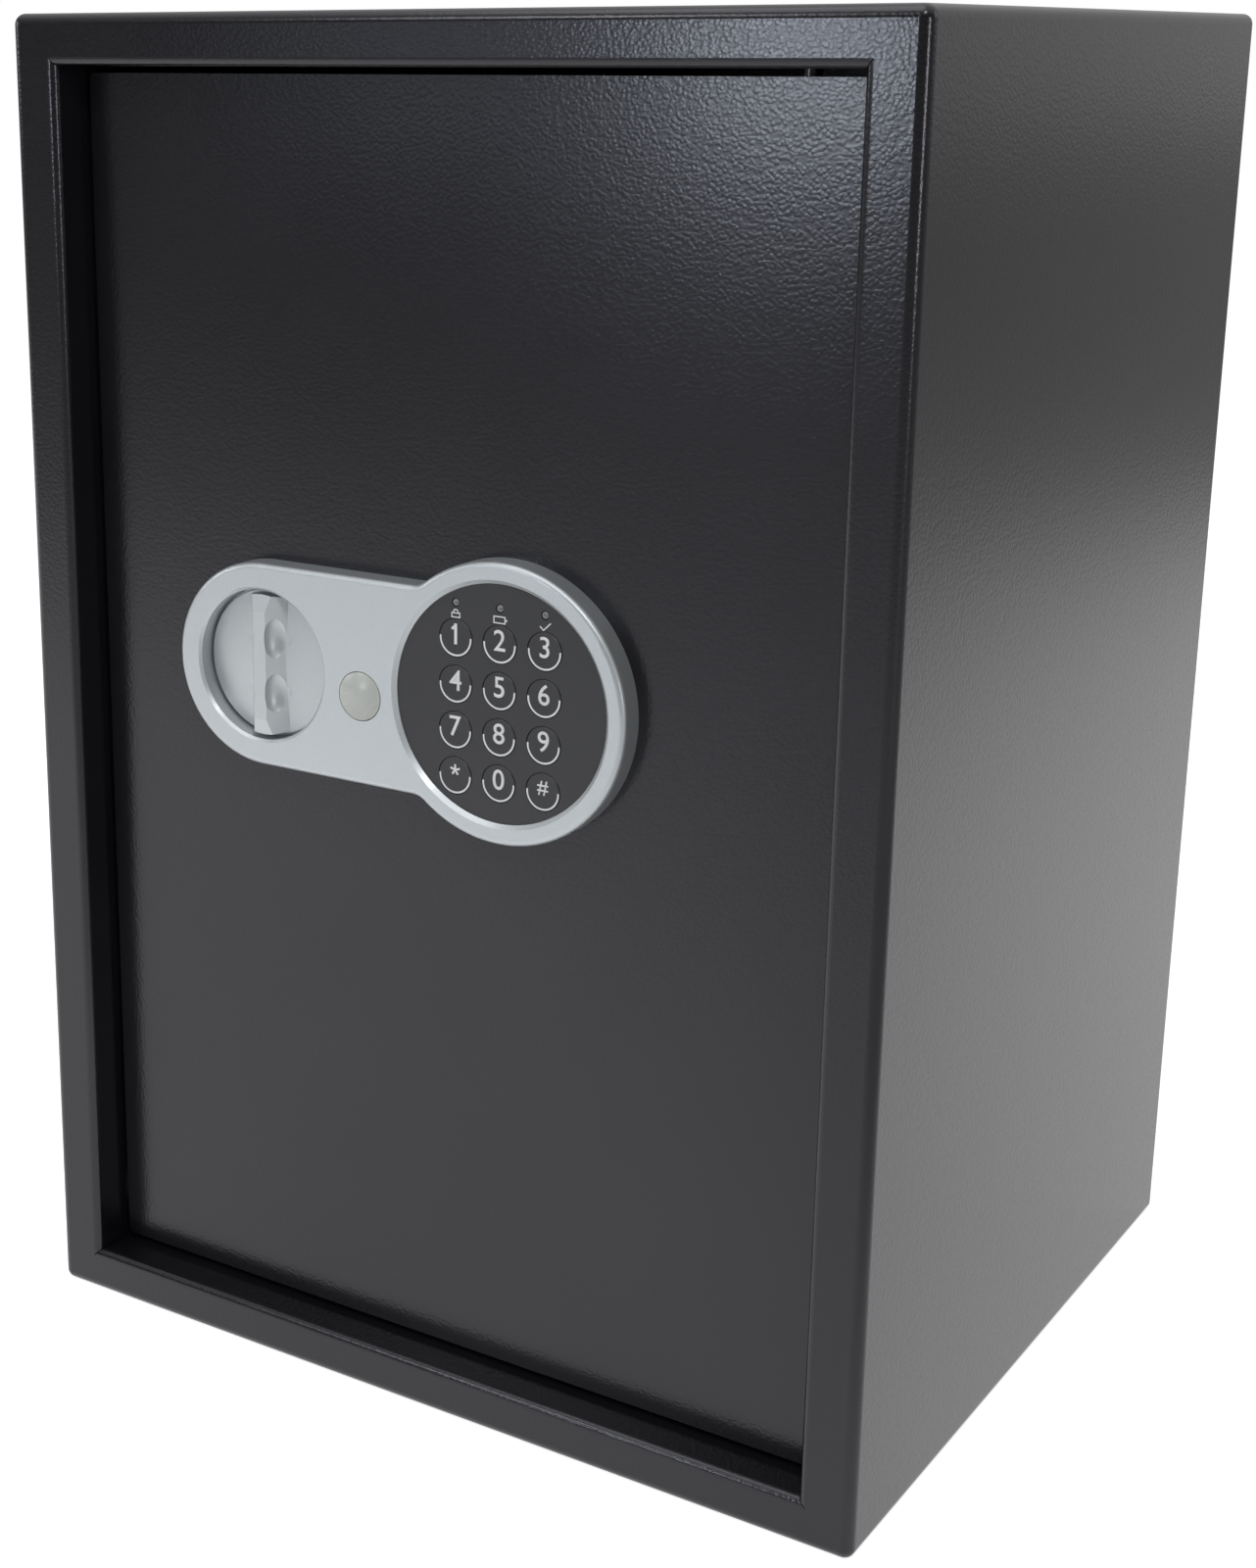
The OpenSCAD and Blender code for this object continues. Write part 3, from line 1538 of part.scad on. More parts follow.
// One lead each from the coil, the reset switch and the battery tray to the board's plugs
module lead_set(hue, side) {
  plug_y = control_y + plug_edge - lead_gap;
  plug_out = control_back - plug_h / 2;
  coil_x = sol_x + coil_r + lead_gap;
  coil_y = sol_low + 0.7 * sol_h;
  past_nut = barrel_r + nut_wall;
  switch_y = reset_y + reset_switch_w / 2 + lead_gap;
  switch_out = cover_inner + 0.7 * reset_bore;
  tray_lead_x = tray_x + tray_w - lead_end;
  tray_top = tray_y + tray_h + lead_gap;
  tray_out = tray_front - tray_wall - lead_pitch;
  color(hue)
    on_door()
      translate([0, 0, side * lead_pitch / 2]) {
        lead([[coil_x, coil_y, sol_axis], [coil_x + lead_end, coil_y, sol_axis],
          [override_x + past_nut, override_y - past_nut - lead_end, (sol_axis + door_back) / 2],
          [plug_xs[0] - 2, override_y + lead_end, (plug_out + sol_axis) / 2],
          [plug_xs[0], plug_y - lead_end, plug_out], [plug_xs[0], plug_y, plug_out]]);
        lead([[reset_x, switch_y, switch_out], [reset_x, switch_y + lead_end, switch_out],
          [(reset_x + plug_xs[1]) / 2, (switch_y + plug_y) / 2, (switch_out + plug_out) / 2],
          [plug_xs[1], plug_y - lead_end, plug_out], [plug_xs[1], plug_y, plug_out]]);
        lead([[tray_lead_x, tray_top, tray_out], [tray_lead_x, tray_top + lead_end, tray_out],
          [tray_lead_x + reset_switch_w / 2, reset_y, (tray_out + plug_out) / 2],
          [plug_xs[2], plug_y - lead_end, plug_out], [plug_xs[2], plug_y, plug_out]]);
      }
}

module battery_tray() {
  color("#2a2a2c")
    on_door()
      translate([tray_x, tray_y, cover_inner])
        difference() {
          cube([tray_w, tray_h, tray_d]);
          translate([tray_wall, tray_wall, -1])
            cube([tray_w - 2 * tray_wall, tray_h - 2 * tray_wall, tray_d + 1 - tray_wall]);
        }
}

module battery_cells() {
  color("#55585c")
    on_door()
      for (i = [0:3])
        translate([tray_x + (tray_w - cell_len) / 2,
            tray_y + tray_wall + cell_gap + cell_pitch * (i + 0.5),
            tray_front - tray_wall - cell_gap - cell_r])
          rotate([0, 90, 0]) {
            cylinder(h = cell_len - terminal_l, r = cell_r);
            cylinder(h = cell_len, r = terminal_r);
          }
}

module reset_switch() {
  color("#2a2a2c")
    on_door()
      translate([reset_x, reset_y, cover_inner])
        difference() {
          translate([-reset_switch_w / 2, -reset_switch_w / 2, 0])
            cube([reset_switch_w, reset_switch_w, reset_bore + reset_foot]);
          translate([0, 0, -1])
            cylinder(h = 1 + reset_bore, r = reset_r + reset_gap);
        }
}

module reset_button() {
  color("#b3261e")
    on_door()
      translate([reset_x, reset_y, case_back - reset_proud])
        rotate_extrude()
          polygon([[0, 0], [reset_r - reset_chamfer, 0], [reset_r, reset_chamfer], [reset_r, reset_len],
          [0, reset_len]]);
}

// The opening in the cover for the battery lid
module battery_opening(grow) {
  translate([tray_x + tray_wall + grow, tray_y + tray_wall + grow])
    square([tray_w - 2 * tray_wall - 2 * grow, tray_h - 2 * tray_wall - 2 * grow]);
}

module mechanism_cover() {
  spare = 20;
  w = cover_w + spare;
  mid_x = case_inner_x + cover_w - w / 2;
  color(powder_black)
    on_door()
      difference() {
        union() {
          translate([mid_x, lock_y, door_back])
            mirror([0, 0, 1])
              difference() {
                folded_box(w, 2 * case_half, case_d, cover_edge_r);
                translate([0, 0, -1])
                  folded_box(w - 2 * cover_t, 2 * case_half - 2 * cover_t, case_d + 1 - cover_t,
                    cover_edge_r - cover_t);
              }
          for (s = [0, 1])
            translate([case_inner_x, lock_y, door_back - cover_t])
              mirror([0, s, 0])
                translate([0, case_half - cover_t, 0])
                  cube([cover_w - cover_edge_r, cover_flange + cover_t, cover_t]);
        }
        translate([case_inner_x - 2 * spare, lock_y - case_half - cover_flange - 1, case_back - 1])
          cube([2 * spare, 2 * (case_half + cover_flange + 1), case_d + 2]);
        translate([0, 0, case_back - 1])
          linear_extrude(cover_t + 2)
            battery_opening(0);
        translate([reset_x, reset_y, case_back - 1])
          cylinder(h = cover_t + 2, r = reset_r + reset_gap);
        for (x = cover_screw_xs, s = [-1, 1])
          translate([x, lock_y + s * cover_screw_y, door_back - cover_t - 1])
            cylinder(h = cover_t + 2, r = cover_screw_r);
      }
}

module cover_screws() {
  color(bright_steel)
    on_door()
      for (x = cover_screw_xs, s = [-1, 1])
        translate([x, lock_y + s * cover_screw_y, door_back - cover_t - cover_head_t]) {
          cylinder(h = cover_head_t, r = 2 * cover_screw_r);
          cylinder(h = cover_head_t + cover_t + cover_screw_bite, r = cover_screw_r);
        }
}

module battery_lid() {
  color("#2a2a2c")
    on_door() {
      difference() {
        translate([tray_x + tray_wall - lid_lap, tray_y + tray_wall - lid_lap,
            case_back - lid_gap - lid_t])
          cube([tray_w - 2 * tray_wall + 2 * lid_lap, tray_h - 2 * tray_wall + 2 * lid_lap, lid_t]);
        translate([tray_x + (tray_w - notch_w) / 2,
            tray_y + tray_h - tray_wall - notch_inset - notch_h, case_back - lid_gap - lid_t - 1])
          cube([notch_w, notch_h, 1 + lid_t / 2]);
      }
      translate([0, 0, case_back - lid_gap])
        linear_extrude(lid_gap + cover_t + skirt_reach)
          difference() {
            battery_opening(skirt_gap);
            battery_opening(skirt_gap + skirt_t);
          }
    }
}

cabinet_body();
back_panel();
hinge_brackets();
hinge_pins();
shelf();
shelf_supports();
floor_mat();
door_plate();
hinge_knuckles();
bolt_guide();
guide_studs();
escutcheon();
escutcheon_screws();
keypad_panel();
keypad_board();
key_switches();
status_lamps();
knob_bush();
override_barrel();
override_nut();
solenoid_frame();
solenoid_coil();
control_board();
board_spacers();
ribbon_cable();
lead_set("#9a1c18", 1);  // red_leads
lead_set("#1c1c1e", -1);  // black_leads
battery_tray();
battery_cells();
reset_switch();
mechanism_cover();
cover_screws();
bolt_carriage();
live_bolts();
bolt_nuts();
knob();
knob_spindle();
bolt_crank();
solenoid_plunger();
plunger_spring();
override_plug();
override_cam();
override_cap();
reset_button();
battery_lid();
for (k = [0:11])
  key_button(k);
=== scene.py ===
import json
import math

import bmesh
import bpy
from mathutils import Matrix, Vector, noise


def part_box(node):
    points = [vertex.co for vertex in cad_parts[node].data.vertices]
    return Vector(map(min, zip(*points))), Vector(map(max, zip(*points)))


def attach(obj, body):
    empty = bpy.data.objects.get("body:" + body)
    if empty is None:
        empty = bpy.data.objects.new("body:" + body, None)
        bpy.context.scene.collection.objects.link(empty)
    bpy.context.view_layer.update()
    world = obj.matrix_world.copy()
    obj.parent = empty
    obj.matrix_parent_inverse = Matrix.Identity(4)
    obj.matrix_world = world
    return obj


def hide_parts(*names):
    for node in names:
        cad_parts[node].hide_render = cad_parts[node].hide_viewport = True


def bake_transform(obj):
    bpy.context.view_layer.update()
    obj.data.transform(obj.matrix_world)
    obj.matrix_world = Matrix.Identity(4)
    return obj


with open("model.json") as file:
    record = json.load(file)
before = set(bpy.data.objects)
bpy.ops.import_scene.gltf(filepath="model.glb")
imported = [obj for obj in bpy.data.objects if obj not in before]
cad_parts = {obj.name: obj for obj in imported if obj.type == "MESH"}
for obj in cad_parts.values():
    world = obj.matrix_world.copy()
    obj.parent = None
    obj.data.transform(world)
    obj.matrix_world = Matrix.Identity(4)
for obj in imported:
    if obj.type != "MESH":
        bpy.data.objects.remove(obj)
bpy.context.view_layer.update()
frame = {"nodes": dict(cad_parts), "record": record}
cad = frame["nodes"]
mm = 0.001
weld = 1e-6  # vertices closer than this, in metres, become one


# Helpers

def linear(hexCode):
    parts = [int(hexCode[i:i + 2], 16) / 255 for i in (1, 3, 5)]
    parts = [p / 12.92 if p <= 0.04045 else ((p + 0.055) / 1.055) ** 2.4 for p in parts]
    return (*parts, 1.0)


def addNode(tree, kind, values=None, links=None, **settings):
    made = tree.nodes.new(kind)
    for key, value in settings.items():
        setattr(made, key, value)
    for key, value in (values or {}).items():
        made.inputs[key].default_value = value
    for key, source in (links or {}).items():
        tree.links.new(source, made.inputs[key])
    return made


def newFinish(name, look):
    # look: Principled sockets by name, constant values only
    finish = bpy.data.materials.new(name)
    finish.use_nodes = True
    tree = finish.node_tree
    tree.nodes.clear()
    where = addNode(tree, "ShaderNodeTexCoord").outputs["Object"]
    shader = addNode(tree, "ShaderNodeBsdfPrincipled", values=look)
    addNode(tree, "ShaderNodeOutputMaterial", links={"Surface": shader.outputs["BSDF"]})
    return finish, tree, where, shader


def grain(tree, where, pitch, detail=2.0, rough=0.5, stretch=(1, 1, 1)):
    # noise with one bump about every pitch millimetres
    place = addNode(tree, "ShaderNodeMapping", links={"Vector": where},
                    values={"Scale": stretch}).outputs["Vector"]
    return addNode(tree, "ShaderNodeTexNoise", links={"Vector": place},
                   values={"Scale": 1 / (pitch * mm), "Detail": detail,
                           "Roughness": rough}).outputs["Fac"]


def vary(tree, shader, socket, pattern, low, high, fromLow=0.0, fromHigh=1.0):
    # low where the pattern is fromLow and high where it is fromHigh: two numbers or two tones
    share = addNode(tree, "ShaderNodeMapRange", links={"Value": pattern},
                    values={"From Min": fromLow, "From Max": fromHigh}).outputs["Result"]
    if isinstance(low, str):
        mixed = addNode(tree, "ShaderNodeMix", data_type="RGBA", links={0: share},
                        values={6: linear(low), 7: linear(high)}).outputs[2]
    else:
        mixed = addNode(tree, "ShaderNodeMix", data_type="FLOAT", links={0: share},
                        values={2: low, 3: high}).outputs[0]
    tree.links.new(mixed, shader.inputs[socket])


def emboss(tree, shader, height, depth, under=None):
    # a relief: depth in millimetres for a height from 0 to 1, on top of the relief under it
    links = {"Height": height}
    if under:
        links["Normal"] = under
    normal = addNode(tree, "ShaderNodeBump", links=links,
                     values={"Strength": 1.0, "Distance": depth * mm}).outputs["Normal"]
    tree.links.new(normal, shader.inputs["Normal"])
    return normal


def linkMesh(name, mesh):
    piece = bpy.data.objects.new(name, mesh)
    bpy.context.scene.collection.objects.link(piece)
    return piece


def dress(piece, finish):
    piece.data.materials.clear()
    piece.data.materials.append(finish)


def formPiece(name, form, finish):
    # turns a finished bmesh into a dressed piece
    made = bpy.data.meshes.new(name)
    form.to_mesh(made)
    form.free()
    piece = linkMesh(name, made)
    dress(piece, finish)
    return piece


def thicken(form, depth):
    # pulls flat faces towards -Y by a depth in metres
    grown = bmesh.ops.extrude_face_region(form, geom=form.faces[:])
    for v in [g for g in grown["geom"] if isinstance(g, bmesh.types.BMVert)]:
        v.co.y -= depth
    bmesh.ops.recalc_face_normals(form, faces=form.faces)


def plainCopy(piece):
    # the evaluated piece as a mesh of its own
    bpy.context.view_layer.update()
    seen = piece.evaluated_get(bpy.context.evaluated_depsgraph_get())
    return bpy.data.meshes.new_from_object(seen)


def middle(node):
    low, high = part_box(node)
    return (low + high) / 2


# Camera at the photograph's place: metres and degrees, pixels of a 1282 x 1600 picture from
# focal to height, and the sensor in millimetres

view = {"place": (0.4519, -0.8186, 0.4879), "yaw": 34.426, "pitch": -15.359, "roll": 0.091,
        "focal": 2474, "centreX": 416.5, "centreY": 728.6, "width": 1282, "height": 1600,
        "sensor": 36}


def makeCamera():
    lens = bpy.data.cameras.new("photoCamera")
    lens.sensor_width = view["sensor"]
    lens.lens = view["sensor"] * view["focal"] / view["height"]
    lens.shift_x = (view["width"] / 2 - view["centreX"]) / view["height"]
    lens.shift_y = (view["centreY"] - view["height"] / 2) / view["height"]
    camera = bpy.data.objects.new("photoCamera", lens)
    bpy.context.scene.collection.objects.link(camera)
    turn = (Matrix.Rotation(math.radians(view["yaw"]), 3, "Z")
            @ Matrix.Rotation(math.radians(view["pitch"]), 3, "X")
            @ Matrix.Rotation(math.radians(view["roll"]), 3, "Y"))
    right, ahead, up = turn.col[0], turn.col[1], turn.col[2]
    pose = Matrix((right, up, -ahead)).transposed().to_4x4()
    pose.translation = view["place"]
    camera.matrix_world = pose
    bpy.context.scene.camera = camera


makeCamera()
print("camera placed")


# Studio: white surroundings, pale floor, soft lamps

# the floor's glow in reflections is painted light: bright over a round of paper under the safe, dim
# past it
studio = {"ambient": 0.29, "horizon": 0.11, "behind": 0.58, "wallFrom": -0.3, "wallTo": 0.9,
          "overhead": 0.8, "ceilingFrom": 0.35, "ceilingTo": 0.85,
          "floorSize": 30.0, "floorTone": "#e9e9e9", "floorLift": 0.80, "nearPaintedGlow": 0.72,
          "farPaintedGlow": 0.05, "paperMiddle": (-1.57, 1.04, 0.0), "nearRadius": 2.08,
          "farRadius": 2.5}
white = (1.0, 1.0, 1.0)
coolWhite = (0.86, 0.93, 1.0)
doorMiddle = (0.0, -0.15, 0.27)
# the front mirrors keyLamp in its upper right corner and middleLamp, dimly, left of there;
# cornerLamp draws the light line down the right front edge
lamps = {
    "keyLamp": {"at": (-0.56, -1.64, 0.50), "aim": (0.10, -0.15, 0.48), "size": 0.20,
                "power": 2.0, "tint": coolWhite},
    "middleLamp": {"at": (-1.05, -1.64, 0.51), "aim": (0.0, -0.15, 0.48), "size": 0.20,
                   "power": 0.18, "tint": coolWhite},
    "leftLamp": {"at": (-2.20, -1.00, 0.90), "aim": doorMiddle, "size": 0.90,
                 "power": 8, "tint": white},
    "frontLamp": {"at": (-1.10, -1.90, 1.50), "aim": doorMiddle, "size": 0.50,
                  "power": 5, "tint": white},
    "edgeLamp": {"at": (0.75, -1.25, 1.60), "aim": doorMiddle, "size": 0.40,
                 "power": 6, "tint": white},
    "cornerLamp": {"at": (1.80, -0.85, 0.45), "aim": (0.17, -0.15, 0.27), "size": 0.35,
                   "power": 3.0, "tint": white},
    "sideLamp": {"at": (1.75, 0.95, 1.05), "aim": (0.17, -0.05, 0.28), "size": 1.10,
                 "power": 3, "tint": white},
    "topLamp": {"at": (-0.30, -0.60, 2.20), "aim": (0.0, 0.0, 0.25), "size": 1.60,
                "power": 10, "tint": white},
}


def byRay(tree, plain, mirrored, seen):
    # one strength for plain light, one for gloss and glass, one for the camera
    path = addNode(tree, "ShaderNodeLightPath").outputs
    mirror = addNode(tree, "ShaderNodeMath", operation="MAXIMUM")
    tree.links.new(path["Is Glossy Ray"], mirror.inputs[0])
    tree.links.new(path["Is Transmission Ray"], mirror.inputs[1])
    inner = addNode(tree, "ShaderNodeMix", data_type="FLOAT", values={2: plain},
                    links={0: mirror.outputs[0], 3: mirrored}).outputs[0]
    return addNode(tree, "ShaderNodeMix", data_type="FLOAT", values={3: seen},
                   links={0: path["Is Camera Ray"], 2: inner}).outputs[0]


def makeStudio():
    bpy.context.scene.view_settings.view_transform = "Standard"
    world = bpy.data.worlds.new("studio")
    world.use_nodes = True
    tree = world.node_tree
    tree.nodes.clear()
    # in reflections the room is dark in front of the door, dim behind it and bright overhead
    toward = addNode(tree, "ShaderNodeTexCoord").outputs["Generated"]
    toward = addNode(tree, "ShaderNodeSeparateXYZ", links={"Vector": toward}).outputs
    walls = addNode(tree, "ShaderNodeMapRange", links={"Value": toward["Y"]}, values={
        "From Min": studio["wallFrom"], "From Max": studio["wallTo"],
        "To Min": studio["horizon"], "To Max": studio["behind"]})
    ceiling = addNode(tree, "ShaderNodeMapRange", links={"Value": toward["Z"]}, values={
        "From Min": studio["ceilingFrom"], "From Max": studio["ceilingTo"],
        "To Min": 0.0, "To Max": studio["overhead"]})
    room = addNode(tree, "ShaderNodeMath", operation="ADD",
                   links={0: walls.outputs["Result"], 1: ceiling.outputs["Result"]})
    sky = addNode(tree, "ShaderNodeBackground", values={"Color": (1, 1, 1, 1)}, links={
        "Strength": byRay(tree, studio["ambient"], room.outputs[0], 1.0)})
    addNode(tree, "ShaderNodeOutputWorld", links={"Surface": sky.outputs[0]})
    bpy.context.scene.world = world

    paper = bpy.data.materials.new("paperFloor")
    paper.use_nodes = True
    tree = paper.node_tree
    tree.nodes.clear()
    matt = addNode(tree, "ShaderNodeBsdfDiffuse", values={"Color": linear(studio["floorTone"])})
    # painted glow, seen only in reflections: the round of paper under the safe glows bright as if
    # lit, the floor past it glows dim
    place = addNode(tree, "ShaderNodeTexCoord").outputs["Object"]
    away = addNode(tree, "ShaderNodeVectorMath", operation="DISTANCE", links={0: place},
                   values={1: studio["paperMiddle"]})
    gloss = addNode(tree, "ShaderNodeMapRange", links={"Value": away.outputs["Value"]}, values={
        "From Min": studio["nearRadius"], "From Max": studio["farRadius"],
        "To Min": studio["nearPaintedGlow"], "To Max": studio["farPaintedGlow"]}).outputs["Result"]
    glow = addNode(tree, "ShaderNodeEmission", values={"Color": (1, 1, 1, 1)},
                   links={"Strength": byRay(tree, 0.0, gloss, studio["floorLift"])})
    both = addNode(tree, "ShaderNodeAddShader", links={0: matt.outputs[0], 1: glow.outputs[0]})
    addNode(tree, "ShaderNodeOutputMaterial", links={"Surface": both.outputs[0]})

    half = studio["floorSize"] / 2
    mesh = bpy.data.meshes.new("floor")
    mesh.from_pydata([(-half, -half, 0), (half, -half, 0), (half, half, 0), (-half, half, 0)],
                     [], [(0, 1, 2, 3)])
    floor = linkMesh("floor", mesh)
    dress(floor, paper)

    for name, lamp in lamps.items():
        light = bpy.data.lights.new(name, "AREA")
        light.shape = "DISK"
        light.size = lamp["size"]
        light.energy = lamp["power"]
        light.color = lamp["tint"]
        holder = bpy.data.objects.new(name, light)
        bpy.context.scene.collection.objects.link(holder)
        holder.location = lamp["at"]
        aim = Vector(lamp["aim"]) - Vector(lamp["at"])
        holder.rotation_euler = aim.to_track_quat("-Z", "Y").to_euler()


makeStudio()
print("studio lit")


# Finishes: tones as hex codes, pattern sizes in millimetres

powder = {"finePitch": 0.4, "fineShare": 0.3, "deepest": 0.5, "cloud": 40, "glossRange": 0.03,
          "tint": (0.93, 0.93, 1.0, 1.0)}
waveLength = math.pi / 10  # of a wave texture of scale 1


def powderCoat(name, tone, fleck, roughness, pitch, depth):
    # polyester powder coat, baked: soft crowded nubs that glitter where a lamp is mirrored
    finish, tree, where, shader = newFinish(name, {
        "Roughness": roughness, "IOR": 1.5, "Specular Tint": powder["tint"]})
    # cells of pitch millimetres, cut by the surface, show as nubs somewhat farther apart,
    # with a finer unevenness on them
    cells = addNode(tree, "ShaderNodeTexVoronoi", feature="F1", links={"Vector": where},
                    values={"Scale": 1 / (pitch * mm)})
    fall = addNode(tree, "ShaderNodeMath", operation="POWER", values={1: 2.0},
                   links={0: cells.outputs["Distance"]})
    nubs = addNode(tree, "ShaderNodeMapRange", links={"Value": fall.outputs[0]},
                   values={"From Max": powder["deepest"], "To Min": 1.0, "To Max": 0.0})
    fine = addNode(tree, "ShaderNodeMapRange", values={"From Min": 0.2, "From Max": 0.8}, links={
        "Value": grain(tree, where, pitch * powder["finePitch"], detail=1.0)})
    crests = addNode(tree, "ShaderNodeMix", data_type="FLOAT", values={0: powder["fineShare"]},
                     links={2: nubs.outputs["Result"], 3: fine.outputs["Result"]}).outputs[0]
    emboss(tree, shader, crests, depth)
    vary(tree, shader, "Base Color", grain(tree, where, powder["cloud"], detail=3.0),
         tone, fleck, 0.3, 0.7)
    vary(tree, shader, "Roughness", crests,
         roughness + powder["glossRange"], roughness - powder["glossRange"])
    return finish


def workedMetal(name, tone, stain, roughness, blotch, line):
    # plated, turned or machined metal: a soft mirror with cloudy stains and fine tool lines,
    # drawn out along the axis that has the smallest number in line
    finish, tree, where, shader = newFinish(name, {"Metallic": 1.0, "Roughness": roughness})
    cloud = grain(tree, where, blotch, detail=4.0, rough=0.6)
    vary(tree, shader, "Base Color", cloud, stain, tone, 0.35, 0.65)
    vary(tree, shader, "Roughness", cloud, roughness + 0.06, roughness - 0.04, 0.35, 0.65)
    # real turning marks are 0.05 mm apart, drawn 0.2 mm apart so that they show
    emboss(tree, shader, grain(tree, where, 0.2, stretch=line), 0.004)
    return finish


def silverPaint(name, tone, shade, roughness):
    # aluminium-flake paint on moulded ABS: an even pale grey with a faint metal shimmer
    finish, tree, where, shader = newFinish(name, {
        "Metallic": 0.7, "Roughness": roughness, "Coat Weight": 0.3, "Coat Roughness": 0.14})
    # real flakes are 0.03 mm wide, drawn 0.35 mm wide so that they show
    flake = grain(tree, where, 0.35, detail=1.0, rough=0.6)
    vary(tree, shader, "Base Color", flake, shade, tone, 0.3, 0.7)
    vary(tree, shader, "Roughness", flake, roughness - 0.05, roughness + 0.05, 0.3, 0.7)
    # the moulding under the paint is softly uneven
    emboss(tree, shader, grain(tree, where, 2.4), 0.006)
    return finish


def plainPlastic(name, tone, shade, roughness, pitch, depth, coat=0.0, **extra):
    # moulded, extruded or printed plastic, as its name says: an even colour with a soft sheen;
    # the grain of its skin, 0.05 mm or less, is drawn pitch millimetres wide so that it shows
    finish, tree, where, shader = newFinish(name, {
        "Roughness": roughness, "IOR": 1.53, "Coat Weight": coat, **extra})
    skin = grain(tree, where, pitch)
    vary(tree, shader, "Base Color", grain(tree, where, 6, detail=3.0), shade, tone, 0.3, 0.7)
    vary(tree, shader, "Roughness", skin, roughness - 0.04, roughness + 0.06, 0.3, 0.7)
    emboss(tree, shader, skin, depth)
    return finish


def feltCloth():
    # needle felt of polyester: matt charcoal, short tangled fibres with lighter ones among them
    finish, tree, where, shader = newFinish("needleFelt", {
        "Roughness": 0.95, "Specular IOR Level": 0.15, "Sheen Weight": 0.35,
        "Sheen Roughness": 0.5})
    # real fibres are 0.05 mm wide, drawn 0.4 mm wide so that they show
    along, across = [grain(tree, where, 0.4, detail=3.0, rough=0.7, stretch=way)
                     for way in ((1, 0.25, 1), (0.25, 1, 1))]
    fibres = addNode(tree, "ShaderNodeMath", operation="MAXIMUM",
                     links={0: along, 1: across}).outputs[0]
    vary(tree, shader, "Base Color", fibres, "#26282d", "#4d5058", 0.45, 0.75)
    lumps = emboss(tree, shader, grain(tree, where, 9, detail=3.0), 0.5)
    emboss(tree, shader, fibres, 0.18, lumps)
    return finish


def circuitBoard():
    # glass-epoxy board under green solder mask: darker green where no copper lies below
    finish, tree, where, shader = newFinish("solderMask", {
        "Roughness": 0.28, "IOR": 1.55, "Coat Weight": 0.3})
    upright = addNode(tree, "ShaderNodeMapping", links={"Vector": where},
                      values={"Rotation": (math.pi / 2, 0, 0)})
    # tracks run along the board 2.54 mm apart
    tracks = addNode(tree, "ShaderNodeTexBrick", links={"Vector": upright.outputs["Vector"]},
                     values={"Scale": 1.0, "Brick Width": 11 * mm, "Row Height": 2.54 * mm,
                             "Mortar Size": 0.35 * mm, "Mortar Smooth": 0.1}).outputs["Fac"]
    vary(tree, shader, "Base Color", tracks, "#0f3b22", "#2a7a45")
    emboss(tree, shader, tracks, 0.03)
    return finish


def flatCable():
    # grey PVC ribbon cable: ten wires side by side, 1.0 mm apart, with a groove between them
    finish, tree, where, shader = newFinish("ribbonPvc", {"Roughness": 0.4, "IOR": 1.52})
    wires = addNode(tree, "ShaderNodeTexWave", wave_type="BANDS", bands_direction="X",
                    wave_profile="SIN", links={"Vector": where},
                    values={"Scale": waveLength / (1.0 * mm), "Distortion": 0.0}).outputs["Fac"]
    # painted shade: the grooves between the wires are coloured darker grey and the ridges lighter
    vary(tree, shader, "Base Color", wires, "#85888b", "#b6b9bb")
    emboss(tree, shader, wires, 0.15)
    return finish


def coilTape():
    # red-brown lacquered tape wound over the copper: its overlapping turns show as steps
    finish, tree, where, shader = newFinish("coilTape", {
        "Roughness": 0.35, "IOR": 1.5, "Coat Weight": 0.4})
    turns = addNode(tree, "ShaderNodeTexWave", wave_type="BANDS", bands_direction="Z",
                    wave_profile="SAW", links={"Vector": where},
                    values={"Scale": waveLength / (6.0 * mm), "Distortion": 0.4}).outputs["Fac"]
    # painted shade: each turn is coloured darkest at the foot of its step, under the turn over it,
    # and lighter towards its raised edge
    vary(tree, shader, "Base Color", turns, "#5b2013", "#8a3a22")
    emboss(tree, shader, turns, 0.1)
    return finish


